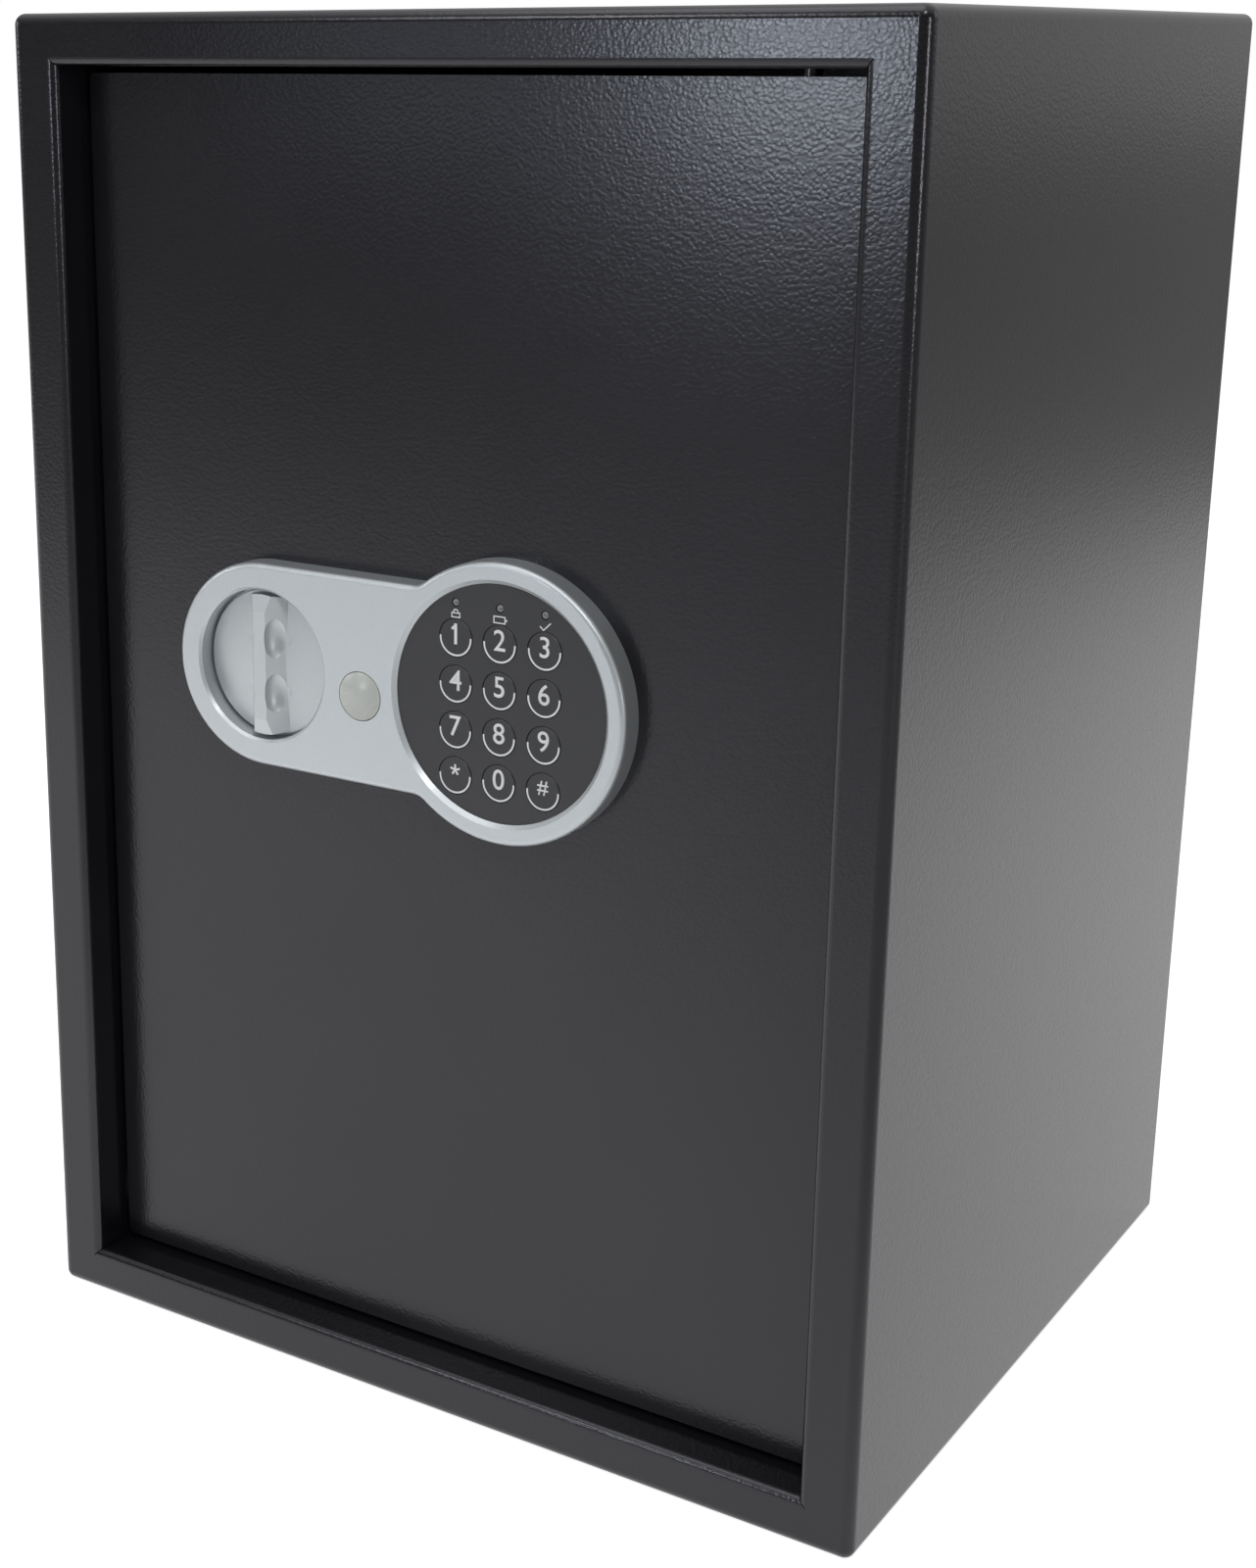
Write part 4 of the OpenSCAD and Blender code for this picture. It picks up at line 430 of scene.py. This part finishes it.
# in each call: name, two tones, roughness, then the sizes of its pattern
finishes = {
    "powder_coat": powderCoat("leatherPowderCoat", "#131216", "#17161a", 0.20, 1.4, 0.034),
    "shelf_coat": powderCoat("shelfPowderCoat", "#1b1a1e", "#232226", 0.40, 1.6, 0.045),
    "cover_coat": powderCoat("satinPowderCoat", "#1f1e22", "#27262a", 0.36, 1.2, 0.020),
    "bright_steel": workedMetal("brightPlatedSteel", "#d3d5d6", "#bfc2c4", 0.20, 8, (1, 0.02, 1)),
    "lock_steel": workedMetal("turnedSteel", "#b9babb", "#a5a7a8", 0.30, 5, (1, 0.05, 1)),
    "zinc_plate": workedMetal("zincPassivate", "#b9bcb6", "#9aa0a0", 0.34, 11, (0.1, 1, 1)),
    "brass": workedMetal("machinedBrass", "#c9b070", "#b39a5c", 0.26, 6, (1, 0.05, 1)),
    "silver_paint": silverPaint("silverPaintPlate", "#c1c6c9", "#b9bec1", 0.42),
    "knob_paint": silverPaint("silverPaintKnob", "#c0c5c7", "#b8bdbf", 0.42),
    "keypad_black": plainPlastic("charcoalPanel", "#252529", "#232327", 0.36, 0.6, 0.004),
    "key_black": plainPlastic("charcoalKeys", "#252529", "#232327", 0.36, 0.6, 0.004),
    "dark_plastic": plainPlastic("blackAbs", "#2b2b2d", "#242426", 0.42, 0.7, 0.012),
    "lamp_lens": plainPlastic("smokedLens", "#707074", "#66666a", 0.12, 2.0, 0.001, coat=0.5),
    "nylon": plainPlastic("naturalNylon", "#d8cda6", "#cbbf97", 0.45, 1.0, 0.006),
    "cap_plastic": plainPlastic("frostedCap", "#bdc0bb", "#bbbeb9", 0.26, 0.4, 0.001,
                                **{"Subsurface Weight": 0.4,
                                   "Subsurface Radius": (2 * mm, 2 * mm, 2 * mm)}),
    "lead_red": plainPlastic("redPvc", "#a4211c", "#8e1a16", 0.32, 2.0, 0.003),
    "lead_black": plainPlastic("blackPvc", "#1d1d1f", "#171719", 0.32, 2.0, 0.003),
    "cell_jacket": plainPlastic("cellJacket", "#54585d", "#474b50", 0.22, 2.5, 0.002, coat=0.4),
    "reset_red": plainPlastic("redAbs", "#c0281f", "#ad211a", 0.28, 0.8, 0.003, coat=0.2),
    "felt": feltCloth(),
    "circuit_board": circuitBoard(),
    "ribbon_grey": flatCable(),
    "coil_tape": coilTape(),
}
figureInk = plainPlastic("padPrintedInk", "#e2e2e4", "#d8d8db", 0.5, 0.4, 0.002)
print("finishes mixed:", len(finishes) + 1)

slotOf = {row["node"]: row["material_slot"] for row in frame["record"]["subparts"]}
for name, piece in cad.items():
    for place in piece.material_slots:
        place.material = finishes[slotOf[name]]
print("carried-over solids dressed:", len(cad))


# Geometry Nodes: shared by what repeats or follows a path

def newTree(name, inputs):
    tree = bpy.data.node_groups.new(name, "GeometryNodeTree")
    tree.interface.new_socket("Geometry", in_out="INPUT", socket_type="NodeSocketGeometry")
    ids = {label: tree.interface.new_socket(
        label, in_out="INPUT", socket_type="NodeSocket" + kind).identifier
        for label, kind in inputs.items()}
    tree.interface.new_socket("Geometry", in_out="OUTPUT", socket_type="NodeSocketGeometry")
    return tree, addNode(tree, "NodeGroupInput").outputs, ids


def closeTree(tree, geometry, finish):
    real = addNode(tree, "GeometryNodeRealizeInstances", links={"Geometry": geometry})
    painted = addNode(tree, "GeometryNodeSetMaterial", links={"Geometry": real.outputs[0]},
                      values={"Material": finish})
    addNode(tree, "NodeGroupOutput", links={"Geometry": painted.outputs[0]})


def growPiece(name, seeds, tree, ids, sizes):
    # runs the tree on the seed points and keeps its result as a plain mesh
    mesh = bpy.data.meshes.new(name + "Seeds")
    mesh.from_pydata([tuple(p) for p in seeds], [], [])
    seedPiece = linkMesh(name + "Seeds", mesh)
    growth = seedPiece.modifiers.new("growth", "NODES")
    growth.node_group = tree
    for label, value in sizes.items():
        growth[ids[label]] = value
    piece = linkMesh(name, plainCopy(seedPiece))
    piece.data.name = name
    seedPiece.modifiers.clear()
    bpy.data.objects.remove(seedPiece)
    return piece


# Screws of the cover and of the lock plate: domed heads with a cross recess, in millimetres;
# a smaller head has its recess and dome scaled with its radius

crossScrew = {"headRadius": 4.0, "domeRadius": 6.2, "slotWidth": 1.1, "slotLength": 4.6,
              "slotDepth": 1.3, "shankShare": 0.5, "headSteps": 48, "shankSteps": 32,
              "trimWidth": 8, "apart": 9.0}
screwSets = {
    "coverScrewSet": {"node": "cover_screws", "count": 6, "headHeight": 1.8},
    "plateScrewSet": {"node": "escutcheon_screws", "count": 4, "headHeight": 1.4},
}


def screwTree():
    tree, size, ids = newTree("crossScrew", {
        "Head Radius": "Float", "Head Height": "Float", "Dome Radius": "Float",
        "Slot Width": "Float", "Slot Length": "Float", "Slot Depth": "Float",
        "Shank Radius": "Float", "Shank Length": "Float", "Turn": "Rotation"})

    def lift(geometry, height):
        up = addNode(tree, "ShaderNodeCombineXYZ", links={"Z": height}).outputs[0]
        return addNode(tree, "GeometryNodeTransform",
                       links={"Geometry": geometry, "Translation": up}).outputs[0]

    # the head: a disc cut by a large ball, z up out of the sheet
    steps = crossScrew["headSteps"]
    tall = addNode(tree, "ShaderNodeMath", operation="MULTIPLY", values={1: 2.0},
                   links={0: size["Head Height"]}).outputs[0]
    disc = addNode(tree, "GeometryNodeMeshCylinder", values={"Vertices": steps},
                   links={"Radius": size["Head Radius"], "Depth": tall}).outputs["Mesh"]
    ball = addNode(tree, "GeometryNodeMeshUVSphere", values={"Segments": steps, "Rings": steps},
                   links={"Radius": size["Dome Radius"]}).outputs["Mesh"]
    sink = addNode(tree, "ShaderNodeMath", operation="SUBTRACT",
                   links={0: size["Head Height"], 1: size["Dome Radius"]}).outputs[0]
    dome = addNode(tree, "GeometryNodeMeshBoolean", operation="INTERSECT", solver="EXACT",
                   links={"Mesh": disc})
    tree.links.new(lift(ball, sink), dome.inputs["Mesh"])
    # the cross recess: two blades across each other
    head = addNode(tree, "GeometryNodeMeshBoolean", operation="DIFFERENCE", solver="EXACT",
                   links={"Mesh 1": dome.outputs["Mesh"]})
    deep = addNode(tree, "ShaderNodeMath", operation="MULTIPLY", values={1: 2.0},
                   links={0: size["Slot Depth"]}).outputs[0]
    for along, across in (("Slot Length", "Slot Width"), ("Slot Width", "Slot Length")):
        edges = addNode(tree, "ShaderNodeCombineXYZ",
                        links={"X": size[along], "Y": size[across], "Z": deep}).outputs[0]
        blade = addNode(tree, "GeometryNodeMeshCube", links={"Size": edges}).outputs["Mesh"]
        tree.links.new(lift(blade, size["Head Height"]), head.inputs["Mesh 2"])
    # the shank runs down into the sheet
    sunk = addNode(tree, "ShaderNodeMath", operation="MULTIPLY", values={1: -0.5},
                   links={0: size["Shank Length"]}).outputs[0]
    shank = addNode(tree, "GeometryNodeMeshCylinder", values={"Vertices": crossScrew["shankSteps"]},
                    links={"Radius": size["Shank Radius"],
                           "Depth": size["Shank Length"]}).outputs["Mesh"]
    # only what stands above the sheet is kept of the head: a block that is trimWidth times
    # as wide as it is tall covers that
    edges = addNode(tree, "ShaderNodeCombineXYZ", links={"X": tall, "Y": tall, "Z": tall})
    cube = addNode(tree, "GeometryNodeMeshCube", links={"Size": edges.outputs[0]})
    block = addNode(tree, "GeometryNodeTransform", links={"Geometry": cube.outputs["Mesh"]},
                    values={"Scale": (crossScrew["trimWidth"], crossScrew["trimWidth"], 1)})
    cap = addNode(tree, "GeometryNodeMeshBoolean", operation="INTERSECT", solver="EXACT",
                  links={"Mesh": head.outputs["Mesh"]})
    tree.links.new(lift(block.outputs[0], size["Head Height"]), cap.inputs["Mesh"])
    screw = addNode(tree, "GeometryNodeJoinGeometry", links={"Geometry": lift(shank, sunk)})
    tree.links.new(cap.outputs["Mesh"], screw.inputs["Geometry"])
    placed = addNode(tree, "GeometryNodeInstanceOnPoints", links={
        "Points": size["Geometry"], "Instance": screw.outputs[0], "Rotation": size["Turn"]})
    closeTree(tree, placed.outputs[0], finishes["zinc_plate"])
    return tree, ids


def clusters(node, count):
    # low and high corner of each separate screw of one CAD node
    mesh = cad[node].data
    groups = []
    for v in mesh.vertices:
        for g in groups:
            if math.hypot(v.co.x - g[0].x, v.co.z - g[0].z) < crossScrew["apart"] * mm:
                g.append(v.co.copy())
                break
        else:
            groups.append([v.co.copy()])
    boxes = []
    for g in groups:
        low = Vector([min(p[i] for p in g) for i in range(3)])
        high = Vector([max(p[i] for p in g) for i in range(3)])
        boxes.append((low, high))
    assert len(boxes) == count
    return boxes


def makeScrews():
    tree, ids = screwTree()
    for name, plan in screwSets.items():
        headHeight = plan["headHeight"]
        boxes = clusters(plan["node"], plan["count"])
        radius = (boxes[0][1].x - boxes[0][0].x) / 2 / mm
        share = radius / crossScrew["headRadius"]
        seat = [Vector(((b[0].x + b[1].x) / 2, b[1].y - headHeight * mm,
                        (b[0].z + b[1].z) / 2)) for b in boxes]
        length = (boxes[0][1].y - boxes[0][0].y) / mm - headHeight
        sizes = {"Head Radius": radius * mm, "Head Height": headHeight * mm,
                 "Dome Radius": crossScrew["domeRadius"] * share * mm,
                 "Slot Width": crossScrew["slotWidth"] * share * mm,
                 "Slot Length": crossScrew["slotLength"] * share * mm,
                 "Slot Depth": crossScrew["slotDepth"] * share * mm,
                 "Shank Radius": crossScrew["shankShare"] * radius * mm,
                 "Shank Length": length * mm,
                 "Turn": (-math.pi / 2, 0.0, 0.0)}
        piece = growPiece(name, seat, tree, ids, sizes)
        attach(piece, "door")
        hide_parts(plan["node"])
    print("screws driven")


makeScrews()


# Figures and arcs printed on the keys

keyPrint = {"height": 7.3, "rise": 1.4, "hashHeight": 5.2, "bold": 0.006,
            "oneStroke": 1.15, "oneFlag": 2.1, "flagShare": 0.8,
            "starArms": 5, "starReach": 2.0, "starStroke": 0.75, "starRise": 2.0,
            "arcOuter": 6.45, "arcInner": 5.8, "arcOverlap": 4, "arcSteps": 28,
            "dish": 0.1, "flatRadius": 6.4, "proud": 0.05, "sunk": 0.04, "finest": 0.8,
            "splits": 4, "curveSteps": 6}
keys = {**{digit: digit for digit in "123456789"}, "star": "*", "0": "0", "hash": "#"}


def figureOutline(sign, height):
    # a sign of the built-in font as flat faces in X and Z, centred on zero
    text = bpy.data.curves.new("figure", "FONT")
    text.body = sign
    text.offset = keyPrint["bold"]
    text.resolution_u = keyPrint["curveSteps"]
    carrier = bpy.data.objects.new("figure", text)
    bpy.context.scene.collection.objects.link(carrier)
    mesh = plainCopy(carrier)
    bpy.data.objects.remove(carrier)
    xs = [v.co.x for v in mesh.vertices]
    ys = [v.co.y for v in mesh.vertices]
    scale = height * mm / (max(ys) - min(ys))
    midX, midY = (max(xs) + min(xs)) / 2, (max(ys) + min(ys)) / 2
    for v in mesh.vertices:
        v.co = Vector(((v.co.x - midX) * scale, 0, (v.co.y - midY) * scale))
    return mesh


def strokeOutline(form, points, width, closed=False):
    # a flat line of even width through the points, in X and Z
    points = [Vector((x, 0, z)) * mm for x, z in points]
    count = len(points)
    rims = []
    for i, p in enumerate(points):
        before = points[i - 1] if i or closed else p
        after = points[(i + 1) % count] if i < count - 1 or closed else p
        arrive = (p - before).normalized() if (p - before).length else None
        leave = (after - p).normalized() if (after - p).length else None
        along = ((arrive or leave) + (leave or arrive)).normalized()
        across = Vector((-along.z, 0, along.x))
        # a mitred corner reaches at most twice as far out as a straight stroke does
        stretch = 1.0
        if arrive and leave:
            stretch = 1 / max(0.5, abs(across.dot(Vector((-leave.z, 0, leave.x)))))
        step = across * width * mm / 2 * stretch
        rims.append((form.verts.new(p + step), form.verts.new(p - step)))
    pairs = list(zip(rims, rims[1:])) + ([(rims[-1], rims[0])] if closed else [])
    for a, b in pairs:
        form.faces.new((a[0], a[1], b[1], b[0]))


def printOn(form, centre, front):
    # wraps flat faces on a dished key and gives them the thickness of a print
    p = keyPrint
    bmesh.ops.remove_doubles(form, verts=form.verts, dist=weld)
    bmesh.ops.triangulate(form, faces=form.faces)
    for split in range(p["splits"]):
        long = [e for e in form.edges if e.calc_length() > p["finest"] * mm]
        if not long:
            break
        bmesh.ops.subdivide_edges(form, edges=long, cuts=1)
        bmesh.ops.triangulate(form, faces=form.faces)
    for v in form.verts:
        away = min(1.0, math.hypot(v.co.x, v.co.z) / (p["flatRadius"] * mm))
        v.co.y = p["dish"] * mm * (1 - away) + p["sunk"] * mm
    bmesh.ops.recalc_face_normals(form, faces=form.faces)
    thicken(form, (p["proud"] + p["sunk"]) * mm)
    bmesh.ops.translate(form, verts=form.verts, vec=(centre.x, front, centre.z))


def makeKeyPrints():
    p = keyPrint
    for key, sign in keys.items():
        centre = middle("key_" + key)
        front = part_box("key_" + key)[0].y
        form = bmesh.new()
        if sign == "*":
            for i in range(p["starArms"]):
                arm = math.radians(90 + 360 / p["starArms"] * i)
                tip = (p["starReach"] * math.cos(arm),
                       p["starRise"] + p["starReach"] * math.sin(arm))
                strokeOutline(form, [(0, p["starRise"]), tip], p["starStroke"])
        elif sign == "1":
            # an upright stroke with a short flag, which this font's figure lacks
            foot, top = p["rise"] - p["height"] / 2, p["rise"] + p["height"] / 2
            right = p["oneStroke"] / 2
            strokeOutline(form, [(0, foot), (0, top)], p["oneStroke"])
            strokeOutline(form, [(right - p["oneFlag"], top - p["oneFlag"]), (0, top - right)],
                          p["oneStroke"] * p["flagShare"])
        else:
            height = p["hashHeight" if sign == "#" else "height"]
            form.from_mesh(figureOutline(sign, height))
            bmesh.ops.translate(form, verts=form.verts, vec=(0, 0, p["rise"] * mm))
        ring = []
        for i in range(p["arcSteps"] + 1):
            angle = math.radians(180 - p["arcOverlap"]
                                 + (180 + 2 * p["arcOverlap"]) * i / p["arcSteps"])
            ring.append([form.verts.new((r * mm * math.cos(angle), 0, r * mm * math.sin(angle)))
                         for r in (p["arcInner"], p["arcOuter"])])
        for a, b in zip(ring, ring[1:]):
            form.faces.new((a[0], a[1], b[1], b[0]))
        printOn(form, centre, front)
        piece = formPiece("figure_" + key, form, figureInk)
        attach(piece, "key_" + key)
    print("keys printed:", len(keys))


makeKeyPrints()


# Small pictures under the three lamps: padlock, battery, tick

lampSigns = {"drop": 3.9, "stroke": 0.4, "archStep": 20, "proud": 0.05, "sunk": 0.04}


def makeLampSigns():
    low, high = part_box("status_lamps")
    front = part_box("keypad_panel")[0].y
    radius = (high.z - low.z) / 2
    xs = [low.x + radius, (low.x + high.x) / 2, high.x - radius]
    arch = [(1.0 * math.cos(math.radians(a)), 0.4 + 1.0 * math.sin(math.radians(a)))
            for a in range(0, 181, lampSigns["archStep"])]
    # each line's points in millimetres from the picture's middle, and whether it closes
    drawings = {
        "padlock": [([(-1.6, -1.3), (1.6, -1.3), (1.6, 0.2), (-1.6, 0.2)], True),
                    ([(1.0, 0.2)] + arch + [(-1.0, 0.2)], False)],
        "battery": [([(-2.4, -1.1), (2.0, -1.1), (2.0, 1.1), (-2.4, 1.1)], True),
                    ([(2.6, -0.45), (2.6, 0.45)], False)],
        "tick": [([(-2.0, 0.0), (-0.6, -1.3), (2.2, 1.4)], False)],
    }
    for x, (name, lines) in zip(xs, drawings.items()):
        form = bmesh.new()
        for points, closed in lines:
            strokeOutline(form, points, lampSigns["stroke"], closed)
        thicken(form, (lampSigns["proud"] + lampSigns["sunk"]) * mm)
        bmesh.ops.translate(form, verts=form.verts, vec=(
            x, front + lampSigns["sunk"] * mm, (low.z + high.z) / 2 - lampSigns["drop"] * mm))
        piece = formPiece("sign_" + name, form, figureInk)
        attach(piece, "door")
    print("lamp signs printed")


makeLampSigns()


# Felt mat on the cabinet floor, cut clear of the anchor holes

mat = {"holeRadius": 9.5, "holeX": 100, "holeY": 80, "holeSteps": 48, "rim": 0.9, "rimSteps": 3,
       "step": 12, "wave": 0.5, "waveScale": 22}


def makeMat():
    low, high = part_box("floor_mat")
    outline = bpy.data.curves.new("feltMat", "CURVE")
    outline.dimensions = "2D"
    outline.fill_mode = "BOTH"
    thick = high.z - low.z
    outline.extrude = thick / 2 - mat["rim"] * mm
    outline.bevel_depth = mat["rim"] * mm
    outline.bevel_resolution = mat["rimSteps"]
    inset = mat["rim"] * mm
    corners = [(low.x + inset, low.y + inset), (high.x - inset, low.y + inset),
               (high.x - inset, high.y - inset), (low.x + inset, high.y - inset)]
    loops = [corners]
    hole = (mat["holeRadius"] + mat["rim"]) * mm
    for sx in (-1, 1):
        for sy in (-1, 1):
            turns = [a * math.tau / mat["holeSteps"] for a in range(mat["holeSteps"])]
            loops.append([(sx * mat["holeX"] * mm + hole * math.cos(a),
                           sy * mat["holeY"] * mm + hole * math.sin(a)) for a in turns])
    for loop in loops:
        spline = outline.splines.new("POLY")
        spline.points.add(len(loop) - 1)
        for point, (x, y) in zip(spline.points, loop):
            point.co = (x, y, 0, 1)
        spline.use_cyclic_u = True
    carrier = bpy.data.objects.new("feltMatOutline", outline)
    bpy.context.scene.collection.objects.link(carrier)
    mesh = plainCopy(carrier)
    bpy.data.objects.remove(carrier)
    form = bmesh.new()
    form.from_mesh(mesh)
    bmesh.ops.translate(form, verts=form.verts, vec=(0, 0, (low.z + high.z) / 2))
    bmesh.ops.remove_doubles(form, verts=form.verts, dist=weld)
    for axis, start, end in ((0, low.x, high.x), (1, low.y, high.y)):
        at = start + mat["step"] * mm
        while at < end - mat["step"] * mm / 2:
            place, facing = [0, 0, 0], [0, 0, 0]
            place[axis], facing[axis] = at, 1
            bmesh.ops.bisect_plane(form, geom=form.verts[:] + form.edges[:] + form.faces[:],
                                   plane_co=place, plane_no=facing)
            at += mat["step"] * mm
    # the top settles in soft low waves, the underside lies flat
    for v in form.verts:
        share = (v.co.z - low.z) / thick
        v.co.z -= share * mat["wave"] * mm * (0.5 + 0.5 * noise.noise(v.co * mat["waveScale"]))
    bmesh.ops.recalc_face_normals(form, faces=form.faces)
    piece = formPiece("felt_mat", form, finishes["felt"])
    faces = piece.data.polygons
    faces.foreach_set("use_smooth", [True] * len(faces))
    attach(piece, "cabinet")
    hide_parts("floor_mat")
    print("mat laid")


makeMat()


# Return spring between the solenoid's frame and the plunger's collar

spring = {"wire": 0.35, "turns": 5.5, "turnSteps": 40, "wireSteps": 12}


def springTree():
    tree, size, ids = newTree("coilSpring", {"Turns": "Float", "Radius": "Float",
                                             "Height": "Float", "Wire": "Float"})
    path = addNode(tree, "GeometryNodeCurveSpiral", values={"Resolution": spring["turnSteps"]},
                   links={"Rotations": size["Turns"], "Height": size["Height"],
                          "Start Radius": size["Radius"], "End Radius": size["Radius"]})
    ring = addNode(tree, "GeometryNodeCurvePrimitiveCircle",
                   values={"Resolution": spring["wireSteps"]}, links={"Radius": size["Wire"]})
    wire = addNode(tree, "GeometryNodeCurveToMesh", values={"Fill Caps": True}, links={
        "Curve": path.outputs[0], "Profile Curve": ring.outputs[0]})
    placed = addNode(tree, "GeometryNodeInstanceOnPoints", links={
        "Points": size["Geometry"], "Instance": wire.outputs[0]})
    closeTree(tree, placed.outputs[0], finishes["bright_steel"])
    return tree, ids


def makeSpring():
    low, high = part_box("plunger_spring")
    centre = middle("plunger_spring")
    wire = spring["wire"] * mm
    foot = Vector((centre.x, centre.y, low.z + wire))
    tree, ids = springTree()
    piece = growPiece("return_spring", [foot], tree, ids, {
        "Turns": spring["turns"], "Radius": (high.x - low.x) / 2 - wire,
        "Height": high.z - low.z - 2 * wire, "Wire": wire})
    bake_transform(piece)
    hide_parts("plunger_spring")
    print("spring wound")


makeSpring()
